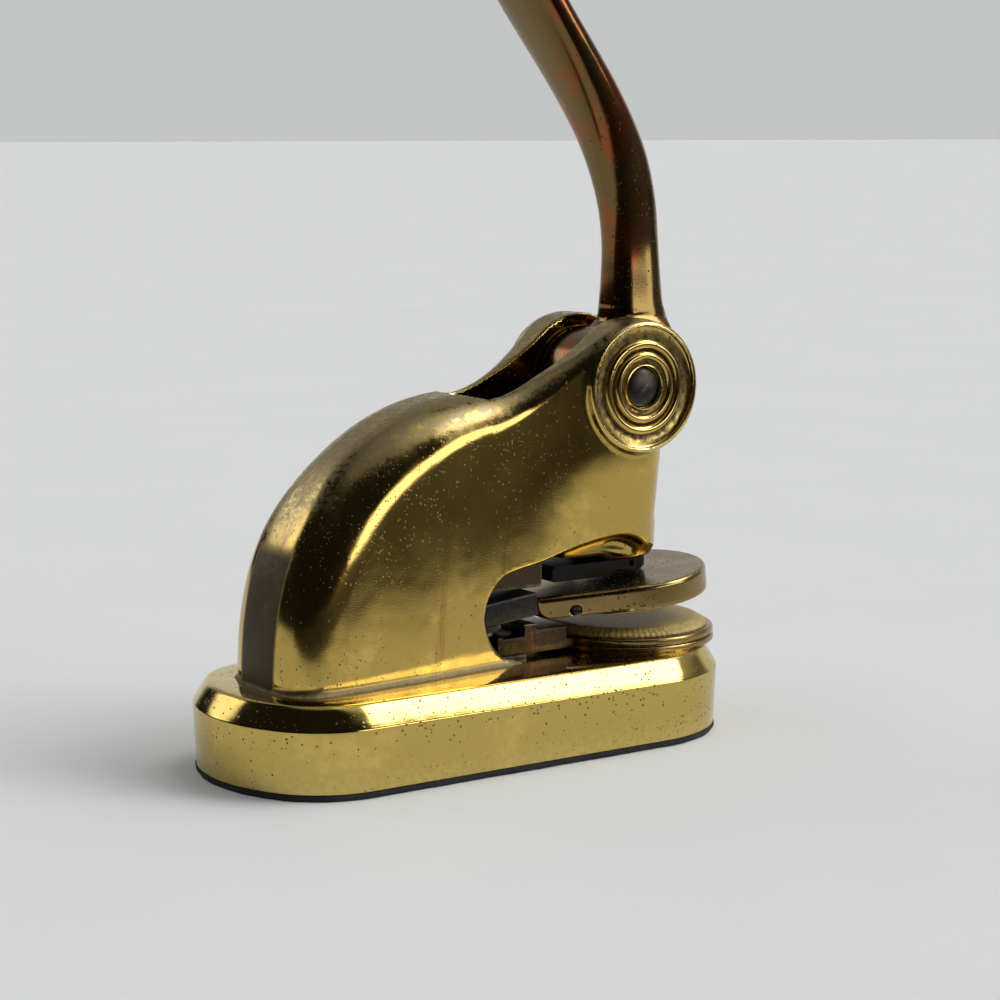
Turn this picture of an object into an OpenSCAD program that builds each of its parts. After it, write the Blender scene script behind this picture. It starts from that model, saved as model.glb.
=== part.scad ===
/* [Base] */
// Half width of the base at its widest, on the line under the bevel
base_half_w = 32.25; // [31:0.25:34]
// Front end of the base, measured forward from its middle
base_front_x = 74; // [72:0.25:76]
// Rear end of the base, measured back from its middle
base_rear_x = 72.3; // [72:0.1:73.5]
// Radius of the two rear corners of the base
rear_corner_r = 24; // [23:0.25:25]
// How far back the centres of the rear corners lie
rear_corner_x = 46; // [45:0.25:46.5]
// Height of the line where the side wall meets the bevel
bevel_z = 17; // [16:0.25:18]
// Height of the ledge that runs round the foot of the body
ledge_z = 22.5; // [22:0.1:23]
// Inward run of the bevel, seen from above
bevel_run = 2.6; // [1.5:0.1:4]
// Draft of the side wall between its foot and the bevel
wall_draft = 0.7; // [0:0.1:1.5]
// Thickness of the side wall round the hollow underside
wall_t = 5.5; // [4:0.25:7]
// Thickness of the floor above the hollow underside
roof_t = 6; // [4.5:0.25:7]
// Thickness of the felt under the base
felt_t = 1.5; // [1:0.1:2.5]
// How far the felt stands out round the casting
felt_proud = 0.3; // [0:0.1:1]
// Thickness of the steel plate that closes the underside
plate_t = 1.5; // [1:0.1:2]
// Distance from the foot of the wall to the edge of the plate
plate_in = 2.6; // [2:0.1:4]
// Shank radius of the plate screws
plate_screw_r = 1.6; // [1.2:0.1:2]
// Head radius of the plate screws
plate_screw_head_r = 2.8; // [2.4:0.1:3.4]
// Length of the plate screws
plate_screw_len = 11; // [8:0.5:12]
// Radius of the pillars that take the plate screws
pillar_r = 4.5; // [3.5:0.25:6]

/* [Body] */
// Half length of the arched body behind its crest
hump_x = 62; // [60:0.25:63]
// Height of the arched body above the ledge
hump_h = 68.7; // [66:0.5:70]
// Half width of the body at its rounded rear end
hump_half_w = 17.8; // [17:0.1:19]
// How square the rear end of the body is in plan, where 2 is a true half round
rear_fullness = 3.2; // [2.6:0.1:3.6]
// How full the arch of the body is in the side view, where 2 is a true ellipse
arch_fullness = 2.05; // [1.95:0.01:2.15]
// Half width of the body foot at the front
nose_half_w = 12.4; // [12:0.1:13.5]
// Half width of the ears beside the pivot
ear_half_w = 18.2; // [17:0.1:19]
// Position of the centre of the rounded front of the body
nose_x = 45; // [44:0.25:46]
// Front face of the body
nose_front_x = 57; // [56:0.25:58]

/* [Pivot] */
// Position of the lever pivot along the base
pivot_x = 43.2; // [42.5:0.1:44]
// Height of the lever pivot
pivot_z = 91.2; // [90:0.1:92]
// Radius of the round bosses on the ears
boss_r = 17; // [16.5:0.1:18]
// Half width across the two bosses
boss_half_w = 19.6; // [19:0.1:21]
// Half width of the slot between the ears
slot_half_w = 9; // [8.5:0.1:9.5]
// Radius of the hollow in which the lever hub turns
hub_room_r = 22.6; // [22.4:0.1:23]
// Height of the slot floor behind the hub
slot_floor_z = 78; // [77:0.25:79]
// Rounded rear end of the slot, measured back from the middle of the base
slot_rear_x = 5; // [3:0.25:6]
// Radius of the pivot pin
pin_r = 5.35; // [5:0.05:5.6]
// Outer radius of the bushes round the pivot pin
bush_r = 7; // [6.6:0.1:7.5]
// Running clearance between the pin and the bush of the lever
pin_gap = 0.05; // [0.02:0.01:0.1]
// Radius of the ringed caps round the pin ends
cap_r = 15.5; // [15:0.1:15.9]
// Depth of the seats of the ringed caps
cap_depth = 2; // [1.5:0.1:2.5]
// Thickness of the thrust washers beside the hub
thrust_t = 0.6; // [0.4:0.1:1]
// Radius of the thrust washers
thrust_r = 11.5; // [10:0.25:12.5]

/* [Lever] */
// Radius of the lever hub
hub_r = 14.2; // [13.5:0.1:14.5]
// Depth of the cam under the pivot while the lever stands up
cam_rest = 15; // [14.8:0.1:15.3]
// Distance of the ram axis in front of the pivot
cam_offset = 4.2; // [3.8:0.1:4.4]
// Swing of the lever from standing up to fully pressed, in degrees
lever_swing = 60; // [50:1:62]
// Half width of the cam
cam_half_w = 7.4; // [6:0.1:7.8]
// Width of the arm at its narrowest
arm_w = 11; // [9:0.25:12]
// Depth of the arm at its narrowest
arm_d = 15.5; // [13:0.25:16]
// Width of the hand paddle
paddle_w = 23.6; // [20:0.2:28]
// Depth of the hand paddle near its tip
paddle_d = 9.6; // [8:0.2:11]

/* [Ram] */
// Radius of the ram shaft
ram_r = 5; // [4.5:0.1:5.2]
// Radius of the ram head
ram_head_r = 7.4; // [7.2:0.05:7.6]
// Running clearance of the ram in its guides
ram_gap = 0.06; // [0.02:0.01:0.1]
// Thickness of the ram head
ram_head_t = 6; // [5:0.25:7]
// Radius of the hardened button on the ram head
button_r = 6.4; // [5.5:0.1:7]
// Height of the hardened button
button_t = 3; // [2.5:0.1:3.5]
// Wall of the lower guide bush
guide_wall = 2; // [1.5:0.1:2.4]
// Length of the lower guide bush
guide_len = 10; // [9:0.25:11]
// Wire radius of the return spring
wire_r = 0.6; // [0.5:0.05:0.65]
// Number of turns of the return spring
spring_turns = 3; // [2.5:0.25:3.25]
// Half width of the foot bar under the ram
foot_half_w = 8.5; // [7:0.25:9]
// Rear end of the foot bar, measured along the base
foot_rear_x = 22; // [21:0.25:24]
// Depth of the foot bar behind the ram
foot_bar_t = 4; // [3:0.1:4.1]
// Radius of the domed face of the foot
foot_dome_r = 40; // [30:1:60]
// Free space between the foot and the die holder
foot_gap = 0.3; // [0.2:0.05:0.4]
// Radius of the cross pin through the foot
foot_pin_r = 0.8; // [0.6:0.1:1]

/* [Dies] */
// Position of the die centres along the base
die_x = 51.2; // [50.5:0.1:51.6]
// Radius of the upper die holder
holder_r = 22.2; // [21.5:0.1:23]
// Thickness of the upper die holder
holder_t = 6.5; // [6:0.1:7]
// Radius of the seal die
die_r = 19.5; // [18.5:0.1:20.2]
// Thickness of the seal die
die_t = 3.5; // [3:0.1:4]
// How far the die stands out of its holder
die_proud = 1; // [0.5:0.1:1.2]
// Free space left between die and counter when pressed
die_gap = 0.1; // [0.05:0.05:0.3]
// Radius of the lower die holder
lower_r = 24; // [23:0.1:24.5]
// Height of the lower die holder above the ledge
lower_t = 4; // [3.5:0.1:4.2]
// Radius of the counter
counter_r = 22.4; // [21.5:0.1:22.8]
// Height of the counter above the lower holder
counter_t = 2; // [1.5:0.1:2.5]
// Half width of the tails behind the two holders
tail_half_w = 8.5; // [7.5:0.25:9]
// Thickness of the steel block at the rear of the upper die half
tail_t = 6; // [5:0.1:6.2]
// Seam between the steel block and the tapered rear of the upper holder
tail_seam_x = 18; // [16:0.5:19]
// Thickness of the spring strap
strap_t = 1; // [0.8:0.1:1.2]
// Line across which the spring strap bends
flex_x = 6; // [5:0.25:7]
// Rear end of the spring strap, measured back from the middle of the base
strap_rear_x = 14; // [12:0.25:15]
// Shank radius of the rivets
rivet_r = 1.5; // [1.2:0.1:1.8]
// Head radius of the rivets
rivet_head_r = 2.6; // [2.2:0.1:3]
// Thickness of the rivet heads
rivet_head_t = 0.8; // [0.6:0.1:1]

/* [Hidden] */
$fn = 72;

brass = [0.72, 0.6, 0.28];
steel = [0.42, 0.42, 0.44];
tan_counter = [0.78, 0.68, 0.46];
black_felt = [0.08, 0.08, 0.08];
eps = 0.01;

// Outline of the base, moved inward by a given distance, as one loop of points
arc_n = 18;
front_cx = base_front_x - base_half_w;
corner_y = base_half_w - rear_corner_r;
corner_run = base_rear_x - rear_corner_x;
rear_r = (corner_run * corner_run + corner_y * corner_y - rear_corner_r * rear_corner_r)
    / (2 * (corner_run - rear_corner_r));
rear_cx = rear_r - base_rear_x;
corner_a = 180 - atan2(corner_y, rear_cx + rear_corner_x);
function arc(cx, cy, r, a0, a1, n) = [for (i = [0 : n]) [cx + r * cos(a0 + (a1 - a0) * i / n),
    cy + r * sin(a0 + (a1 - a0) * i / n)]];
function outline(inset) = concat(
    arc(front_cx, 0, base_half_w - inset, -90, 90, 2 * arc_n),
    arc(-rear_corner_x, corner_y, rear_corner_r - inset, 90, corner_a, arc_n - 4),
    [for (i = [1 : arc_n - 5]) let (a = corner_a + (360 - 2 * corner_a) * i / (arc_n - 4))
        [rear_cx + (rear_r - inset) * cos(a), (rear_r - inset) * sin(a)]],
    arc(-rear_corner_x, -corner_y, rear_corner_r - inset, 360 - corner_a, 270, arc_n - 4));

// Skin of a stack of rings that all have the same number of points
module loft(rings) {
    n = len(rings[0]);
    m = len(rings);
    pts = [for (r = rings) each r];
    sides = [for (i = [0 : m - 2]) for (j = [0 : n - 1]) let (k = (j + 1) % n)
        each [[i * n + j, (i + 1) * n + j, (i + 1) * n + k], [i * n + j, (i + 1) * n + k, i * n + k]]];
    first = [for (j = [1 : n - 2]) [0, j, j + 1]];
    last = [for (j = [1 : n - 2]) [(m - 1) * n, (m - 1) * n + j + 1, (m - 1) * n + j]];
    polyhedron(points = pts, faces = concat(sides, first, last));
}

// A plane figure drawn in x and z, given thickness across the part
module across(half_w) {
    translate([0, half_w, 0])
        rotate([90, 0, 0])
            linear_extrude(height = 2 * half_w)
                children();
}

// A round rod across the part, from one side position to another
module rod(x, z, r, y0, y1) {
    translate([x, y0, z])
        rotate([-90, 0, 0])
            cylinder(r = r, h = y1 - y0);
}

// Smooth curve through hand-set points, two spans for each pair
function mid(p, i) = (-p[max(i - 1, 0)] + 9 * p[i] + 9 * p[i + 1] - p[min(i + 2, len(p) - 1)]) / 16;
function smooth_line(p) = concat([for (i = [0 : len(p) - 2]) each [p[i], mid(p, i)]], [p[len(p) - 1]]);

// Side view of the body: an arch at the back, a hollow sweep up to the ears, then the boss
ear_top = [[0, 0], [5, 0.3], [11, 1.7], [17, 4.2], [23, 7.4], [29, 11.3], [34, 14.8], [38, 16.3], [43, 17]];
boss_top = pivot_z + boss_r;
crest_z = ledge_z + hump_h;
function body_top(x) = x <= 0
    ? ledge_z + hump_h * pow(max(0, 1 - pow(-x / hump_x, arch_fullness)), 1 / arch_fullness)
    : x < pivot_x
        ? crest_z + lookup(x * 43 / pivot_x, ear_top) * (boss_top - crest_z) / 17
        : pivot_z + sqrt(max(0, boss_r * boss_r - pow(x - pivot_x, 2)));

// Plan view of the body: a full rear end that narrows towards the front
rear_round_x = hump_half_w - hump_x;
foot_w = [[rear_round_x, 0], [-30, 0.19], [-18, 0.36], [-8, 0.6], [5, 0.82], [20, 0.95], [nose_x, 1]];
ear_w = [[-20, 0.36], [-8, 0.42], [0, 0.45], [12, 0.42], [24, 0.2], [30, 0.06], [nose_x, 0]];
function step_up(t) = let (u = min(1, max(0, t))) u * u * (3 - 2 * u);
function low_w(x) = hump_half_w - (hump_half_w - nose_half_w) * lookup(x, foot_w);
function high_w(x) = x < -20 ? low_w(x)
    : x < 0 ? low_w(x) + 1.2 * (x + 20) / 20
    : let (rise = lookup(x, [[0, 0], [10, 0.14], [20, 0.5], [28, 0.86], [34, 1], [nose_x, 1]]))
        (low_w(0) + 1.2) * (1 - rise) + ear_half_w * rise;
function side_w(x, z) = low_w(x) + (high_w(x) - low_w(x)) * step_up((z - 40) / 42);
function end_round(x) = x < rear_round_x
    ? pow(max(0, 1 - pow((rear_round_x - x) / hump_half_w, rear_fullness)), 1 / rear_fullness)
    : x > nose_x ? sqrt(max(0, 1 - pow((x - nose_x) / (nose_front_x - nose_x), 2))) : 1;
function wall_w(x, z) = side_w(x, z) * end_round(x);
function shoulder(x) = lookup(x, [[-62, 14], [-45, 15], [-25, 13.5], [-8, 11], [0, 9.5], [10, 7],
    [20, 4.6], [30, 3], [62, 2.4]]);
wall_n = 6;
round_n = 6;
body_foot_z = ledge_z - 2;
function half_ring(x) = let (zt = body_top(x), w = wall_w(x, zt), rz = min(shoulder(x), (zt - body_foot_z) * 0.9),
    rx = min(shoulder(x) * 1.05, w * 0.93), zs = zt - rz)
    concat([for (k = [0 : wall_n - 1]) let (z = body_foot_z + (zs - body_foot_z) * k / wall_n)
            [x, wall_w(x, z), z]],
        [for (k = [0 : round_n]) let (a = 90 * k / round_n, z = zs + rz * sin(a))
            [x, wall_w(x, z) - rx * (1 - cos(a)), z]]);
function ring(x) = let (h = half_ring(x), n = len(h))
    concat(h, [for (i = [0 : n - 1]) [h[n - 1 - i][0], -h[n - 1 - i][1], h[n - 1 - i][2]]]);
body_x = concat([for (a = [2, 6, 10, 15, 20, 27, 34, 41, 48, 55, 62, 69, 76, 83, 90]) -hump_x * cos(a)],
    [for (i = [1 : 9]) nose_x * i / 9],
    [for (a = [20, 38, 54, 68, 80]) nose_x + (nose_front_x - nose_x) * sin(a)]);
module body_loft() {
    loft([for (x = body_x) ring(x)]);
}

// The open mouth over the dies, seen from the side
mouth_edge = [[9, ledge_z - 0.1], [4.2, 24.3], [1, 27.2], [-1, 30.6], [-2, 34.4], [-1.4, 38.6], [0.8, 42.4],
    [4.2, 45.2], [9.5, 46.6], [15.5, 47.6], [21.5, 49.2], [28, 50.8], [34.5, 52], [41, 52.4], [46, 51],
    [50, 48.8], [54, 47.7]];
module mouth() {
    across(40)
        polygon(concat(smooth_line(mouth_edge), [[base_front_x + 4, 47.6], [base_front_x + 4, ledge_z - 0.1]]));
}

// Ram and cam heights
ram_x = pivot_x + cam_offset;
ram_top_z = pivot_z - cam_rest;
ram_travel = cam_offset * lever_swing * PI / 180;
head_top_z = ram_top_z - button_t;
head_low_z = head_top_z - ram_head_t;
guide_low_z = 45.6;
guide_top_z = guide_low_z + guide_len;
head_room_r = ram_head_r + ram_gap;
guide_r = ram_r + ram_gap + guide_wall;

// Upper die half: built level as pressed, then lifted about the bending line
counter_top_z = ledge_z + lower_t + counter_t;
holder_z = counter_top_z + die_gap + die_proud;
tail_z = holder_z + 2.4;
flex_arm = ram_x - flex_x;
lift_a = atan(ram_travel / flex_arm);
module lifted() {
    translate([flex_x, 0, tail_z])
        rotate([0, -lift_a, 0])
            translate([-flex_x, 0, -tail_z])
                children();
}
holder_rise = holder_z + holder_t - tail_z;
holder_top_rest_z = tail_z + (flex_arm + holder_rise * sin(lift_a)) * tan(lift_a) + holder_rise * cos(lift_a);
foot_low_z = holder_top_rest_z + foot_dome_r * (1 / cos(lift_a) - 1) + foot_gap;
foot_top_z = guide_low_z - 0.4;

// Rib of the jaw: its half width and its underside, clear of the lifted steel block
rib_half_w = 6;
rib_low_z = tail_z + tail_t + 2;

// Rear end of the lower tail and shank of the screw that holds the lower holder
lower_tail_x = 5;
lower_tail_t = lower_t + counter_t;
lower_stop_x = lower_tail_x + 8;
lower_stop_t = tail_z - ledge_z - 0.8;
lower_step_t = holder_z - ledge_z;
holder_screw_r = 2.5;

// Places of the rivets in the tails
rivet_y = [-4.5, 4.5];
rivet_x = flex_x - 3;

// Places of the plate screws
screw_at = [[-50, 0], [54, 15], [54, -15], [0, 20], [0, -20]];

module outline_slab(inset, z, h) {
    translate([0, 0, z])
        linear_extrude(height = h)
            polygon(outline(inset));
}

module base_solid() {
    rings = [[felt_t, wall_draft], [bevel_z, 0], [bevel_z + 1.8, 0.15 * bevel_run],
        [bevel_z + 3.4, 0.37 * bevel_run], [ledge_z - 0.7, 0.7 * bevel_run], [ledge_z, bevel_run + 0.6]];
    loft([for (r = rings) [for (p = outline(r[1])) [p[0], p[1], r[0]]]]);
}

module frame_casting() {
    color(brass)
    difference() {
        union() {
            base_solid();
            difference() {
                union() {
                    body_loft();
                    for (s = [-1, 1])
                        rod(pivot_x, pivot_z, boss_r, s > 0 ? slot_half_w - 1 : -boss_half_w + 0.8,
                            s > 0 ? boss_half_w - 0.8 : -slot_half_w + 1);
                    for (s = [0, 1])
                        mirror([0, s, 0])
                            boss_rim();
                }
                mouth();
            }
            // boss under the jaw that holds the guide of the ram
            translate([ram_x, 0, guide_low_z])
                cylinder(r = nose_front_x - ram_x, h = 9);
            translate([26, -8.5, guide_low_z + 0.8])
                cube([ram_x - 26, 17, 8]);
            // rib under the jaw, over the steel block and behind the foot bar
            translate([-3, -rib_half_w, rib_low_z])
                cube([foot_rear_x + 1.5, 2 * rib_half_w, 13]);
        }
        // slot between the ears, with its rounded rear end
        translate([slot_half_w - slot_rear_x, 0, slot_floor_z])
            cylinder(r = slot_half_w, h = 40);
        translate([slot_half_w - slot_rear_x, -slot_half_w, slot_floor_z])
            cube([80, 2 * slot_half_w, 40]);
        rod(pivot_x, pivot_z, hub_room_r, -slot_half_w, slot_half_w);
        // bores for the ear bushes and seats for the ringed caps
        rod(pivot_x, pivot_z, bush_r, -boss_half_w - 1, boss_half_w + 1);
        rod(pivot_x, pivot_z, cap_r, boss_half_w - cap_depth, boss_half_w + 1);
        rod(pivot_x, pivot_z, cap_r, -boss_half_w - 1, cap_depth - boss_half_w);
        // bore for the ram head and its spring, and for the guide bush
        translate([ram_x, 0, guide_top_z])
            cylinder(r = head_room_r, h = 30);
        translate([ram_x, 0, guide_low_z - 1])
            cylinder(r = guide_r, h = guide_len + 2);
        // pocket behind the mouth for the bend of the spring strap
        translate([-strap_rear_x - 6, -tail_half_w - 1.5, ledge_z])
            cube([strap_rear_x + 6 + mouth_edge[0][0] + 1, 2 * tail_half_w + 3, rib_low_z - ledge_z]);
        // hollow underside, with pillars for the screws
        difference() {
            outline_slab(wall_t, 0, ledge_z - roof_t);
            for (p = screw_at)
                translate([p[0], p[1], 0])
                    cylinder(r = pillar_r, h = ledge_z);
        }
        outline_slab(plate_in, 0, felt_t + plate_t);
        for (p = screw_at)
            translate([p[0], p[1], 0])
                cylinder(r = plate_screw_r, h = felt_t + plate_screw_len + 1);
        // hole for the screw of the lower holder
        translate([die_x, 0, 10])
            cylinder(r = holder_screw_r, h = 20);
    }
}

// Rounded edge of one boss
module boss_rim() {
    translate([pivot_x, 0, pivot_z])
        rotate([-90, 0, 0])
            rotate_extrude()
                polygon(concat([[8, boss_half_w - 3], [boss_r, boss_half_w - 3]],
                    [for (a = [0 : 15 : 90]) [boss_r - 1 + cos(a), boss_half_w - 1 + sin(a)]],
                    [[8, boss_half_w]]));
}

module base_plate() {
    color(steel)
    difference() {
        outline_slab(plate_in + 0.15, felt_t, plate_t);
        for (p = screw_at)
            translate([p[0], p[1], 0])
                cylinder(r = plate_screw_r, h = 10);
        for (p = screw_at)
            translate([p[0], p[1], felt_t])
                cylinder(r1 = plate_screw_head_r, r2 = plate_screw_r, h = plate_screw_head_r - plate_screw_r);
    }
}

module base_screws() {
    color(steel)
    for (p = screw_at)
        translate([p[0], p[1], felt_t])
            difference() {
                union() {
                    cylinder(r1 = plate_screw_head_r, r2 = plate_screw_r,
                        h = plate_screw_head_r - plate_screw_r);
                    cylinder(r = plate_screw_r, h = plate_screw_len);
                }
                translate([-4, -0.4, -1])
                    cube([8, 0.8, 1.5]);
            }
}

module felt_pad() {
    color(black_felt)
    outline_slab(wall_draft - felt_proud, 0, felt_t);
}

pin_end_w = boss_half_w - 0.3;
module pivot_pin() {
    color(steel)
    union() {
        rod(pivot_x, pivot_z, pin_r, -pin_end_w + 1, pin_end_w - 1);
        for (s = [0, 1])
            mirror([0, s, 0])
                translate([pivot_x, 0, pivot_z])
                    rotate([-90, 0, 0])
                        rotate_extrude()
                            polygon(concat([[0, pin_end_w - 2], [pin_r, pin_end_w - 2]],
                                [for (a = [0 : 10 : 90]) [pin_r * (0.72 + 0.28 * cos(a)) * (a < 90 ? 1 : 0.999),
                                    pin_end_w - 1.4 + 0.9 * sin(a)]],
                                [for (t = [0.66, 0.5, 0.34, 0.17, 0]) [pin_r * t,
                                    pin_end_w - 0.5 + 0.5 * (1 - pow(t / 0.72, 2))]]));
    }
}

module ear_bush() {
    difference() {
        rod(pivot_x, pivot_z, bush_r, slot_half_w, boss_half_w - cap_depth);
        rod(pivot_x, pivot_z, pin_r, 0, boss_half_w);
    }
}

module ear_bush_right() {
    color(brass)
    mirror([0, 1, 0])
        ear_bush();
}

module ear_bush_left() {
    color(brass)
    ear_bush();
}

// Ringed cap round one end of the pivot pin, turned about the pivot
module boss_cap() {
    seat = boss_half_w - cap_depth;
    translate([pivot_x, 0, pivot_z])
        rotate([-90, 0, 0])
            rotate_extrude()
                polygon(concat([[pin_r + pin_gap, seat], [cap_r, seat], [cap_r, seat + 0.9], [13.5, seat + 0.9]],
                    [for (a = [0 : 20 : 180]) [12.1 + 1.3 * cos(a), seat + 1.2 + 0.8 * sin(a)]],
                    [[10.6, seat + 1], [10.2, seat + 1]],
                    [for (a = [0 : 20 : 180]) [8.7 + 1.4 * cos(a), seat + 1.3 + 0.9 * sin(a)]],
                    [[7.2, seat + 0.8], [6.4, seat + 0.8], [6.3, seat + 1.4], [5.9, seat + 1.5],
                        [pin_r + pin_gap, seat + 1.2]]));
}

module boss_cap_right() {
    color(brass)
    mirror([0, 1, 0])
        boss_cap();
}

module boss_cap_left() {
    color(brass)
    boss_cap();
}

hub_half_w = slot_half_w - thrust_t;
module thrust_washer(y0) {
    difference() {
        rod(pivot_x, pivot_z, thrust_r, y0, y0 + thrust_t);
        rod(pivot_x, pivot_z, pin_r + pin_gap, y0 - 1, y0 + thrust_t + 1);
    }
}

module thrust_washer_right() {
    color(steel)
    thrust_washer(-slot_half_w);
}

module thrust_washer_left() {
    color(steel)
    thrust_washer(hub_half_w);
}

// Cam outline round the pivot: its depth grows evenly as the lever comes forward
function cam_at(a) = let (s = cam_rest + cam_offset * a * PI / 180)
    [cam_offset * cos(a) + s * sin(a), cam_offset * sin(a) - s * cos(a)];
cam_from = -20;
cam_to = 84;
cam_line = [for (i = [0 : 16]) cam_at(cam_from + (cam_to - cam_from) * i / 16)];

// Middle line of the arm, measured from the pivot, then the depth, end and width factor of each station
arm_line = [[7.4, 4.8], [9.8, 11.8], [9.9, 16.3], [9.7, 19.8], [9.6, 26.8], [9.3, 35.8], [8.2, 45.8],
    [5.4, 55.8], [1.2, 64.8], [-4.4, 73.8], [-10.9, 82.8], [-17.8, 91.8], [-24.4, 100.8], [-29.2, 107.8],
    [-31.4, 111.2], [-32.4, 112.8]];
arm_path = [for (p = arm_line) p + [pivot_x, pivot_z]];
arm_depth = [1.3, 1.36, 1.22, 1.13, 1.05, 1, 0.96, 0.93, 0.6, 0.45, 0.3, 0.15, 0, 0, 0, 0];
arm_end = [1, 1, 1, 1, 1, 1, 1, 1, 1, 1, 1, 1, 1, 0.93, 0.72, 0.36];
arm_width = [0.42, 0.42, 0.27, 0.15, 0.06, 0, 0.09, 0.22, 0.4, 0.6, 0.78, 0.92, 1, 1, 1, 1];
function arm_dir(i) = let (d = arm_path[min(i + 1, 15)] - arm_path[max(i - 1, 0)]) d / norm(d);
function arm_ring(i) = let (d = arm_dir(i), n = [d[1], -d[0]], blend = step_up((i - 6) / 6),
    dep = (arm_d * max(arm_depth[i], 0.93) * (1 - blend) + paddle_d * blend) * arm_end[i],
    wid = (arm_w + (paddle_w - arm_w) * arm_width[i]) * arm_end[i])
    [for (k = [0 : 19]) let (a = 360 * (k + 0.5) / 20, c = cos(a), s = sin(a),
        u = dep / 2 * sign(c) * pow(abs(c), 0.8), v = wid / 2 * sign(s) * pow(abs(s), 0.8))
        [arm_path[i][0] + n[0] * u, v, arm_path[i][1] + n[1] * u]];
heel_x = 25;
// Top of the heel under the pivot, well inside the round of the hub
heel_drop = 6.2;
module lever() {
    color(brass)
    difference() {
        union() {
            rod(pivot_x, pivot_z, hub_r, -hub_half_w, hub_half_w);
            translate([pivot_x, 0, pivot_z])
                across(cam_half_w)
                    polygon(concat(cam_line, [[20.8, 9], [16.5, 14.5], [4, 16], [-6, 8]]));
            // heel that stops the lever against the slot floor
            translate([heel_x, -cam_half_w, slot_floor_z])
                cube([pivot_x - heel_x - 3, 2 * cam_half_w, pivot_z - heel_drop - slot_floor_z]);
            loft([for (i = [0 : 15]) arm_ring(i)]);
        }
        rod(pivot_x, pivot_z, bush_r, -20, 20);
    }
}

module lever_bush() {
    color(brass)
    difference() {
        rod(pivot_x, pivot_z, bush_r, -hub_half_w, hub_half_w);
        rod(pivot_x, pivot_z, pin_r + pin_gap, -20, 20);
    }
}

button_peg_r = 3;
button_peg_len = 3;
tenon_r = 3.4;
tenon_up = 1.6;
module ram() {
    color(steel)
    difference() {
        union() {
            translate([ram_x, 0, head_low_z])
                cylinder(r = ram_head_r, h = ram_head_t);
            translate([ram_x, 0, foot_top_z])
                cylinder(r = ram_r, h = head_low_z - foot_top_z + 1);
            translate([ram_x, 0, foot_low_z + tenon_up])
                cylinder(r = tenon_r, h = foot_top_z - foot_low_z);
        }
        translate([ram_x, 0, head_top_z - button_peg_len])
            cylinder(r = button_peg_r, h = button_peg_len + 1);
        rod(ram_x, foot_pin_z, foot_pin_r, -10, 10);
    }
}

module ram_button() {
    color(steel)
    union() {
        translate([ram_x, 0, head_top_z])
            cylinder(r = button_r, h = button_t - 0.6);
        translate([ram_x, 0, ram_top_z - 0.6])
            cylinder(r1 = button_r, r2 = button_r - 0.6, h = 0.6);
        translate([ram_x, 0, head_top_z - button_peg_len])
            cylinder(r = button_peg_r, h = button_peg_len + 0.2);
    }
}

// Return spring under the ram head, one unbroken wire
coil_r = (ram_r + head_room_r) / 2;
spring_h = head_low_z - guide_top_z - 2 * wire_r;
coil_n = round(8 * spring_turns);
function coil_pt(i) = let (a = 360 * i / 8) [ram_x + coil_r * cos(a), coil_r * sin(a),
    guide_top_z + wire_r + spring_h * i / coil_n];
function coil_ring(i) = let (a = 360 * i / 8, c = coil_pt(i))
    [for (k = [0 : 5]) let (b = 60 * k + 30) c + wire_r * [cos(b) * cos(a), cos(b) * sin(a), sin(b)]];
echo("gap between turns", spring_h / spring_turns - 2 * wire_r);
module ram_spring() {
    color(steel)
    loft([for (i = [coil_n : -1 : 0]) coil_ring(i)]);
}

module ram_guide_bush() {
    color(brass)
    translate([ram_x, 0, guide_low_z])
        difference() {
            cylinder(r = guide_r, h = guide_len);
            translate([0, 0, -1])
                cylinder(r = ram_r + ram_gap, h = guide_len + 2);
        }
}

foot_pin_z = foot_top_z - 1.3;
foot_pin_half = 6;
foot_dome_top = foot_low_z + 1.4;
module ram_foot() {
    color(steel)
    difference() {
        union() {
            intersection() {
                translate([ram_x, 0, foot_low_z + foot_dome_r])
                    sphere(r = foot_dome_r, $fn = 96);
                translate([ram_x, 0, foot_low_z - 1])
                    cylinder(r = foot_half_w - 0.5, h = 2.6);
            }
            translate([ram_x, 0, foot_dome_top])
                cylinder(r = foot_half_w, h = foot_top_z - foot_dome_top);
            // bar that runs back under the jaw, lower where the tail leaves it room
            across(foot_half_w)
                polygon([[foot_rear_x, foot_top_z - 0.8], [foot_rear_x + 0.8, foot_top_z], [ram_x, foot_top_z],
                    [ram_x, foot_dome_top], [ram_x - 6, foot_dome_top], [ram_x - 8, foot_top_z - foot_bar_t],
                    [foot_rear_x + 0.6, foot_top_z - foot_bar_t], [foot_rear_x, foot_top_z - foot_bar_t + 0.6]]);
        }
        translate([ram_x, 0, foot_low_z + tenon_up])
            cylinder(r = tenon_r, h = 10);
        rod(ram_x, foot_pin_z, foot_pin_r, -10, 10);
    }
}

module foot_pin() {
    color(steel)
    rod(ram_x, foot_pin_z, foot_pin_r, -foot_pin_half, foot_pin_half);
}

// Tongue of the steel block, which sits in a slot in the rear of the upper holder
tongue_in = 8;
tongue_half_w = 6;
tongue_up = 1;
tongue_t = 2.2;
module tail_tongue() {
    translate([tail_seam_x - 1, -tongue_half_w, tail_z + tongue_up])
        cube([tongue_in + 1, 2 * tongue_half_w, tongue_t]);
}

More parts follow.
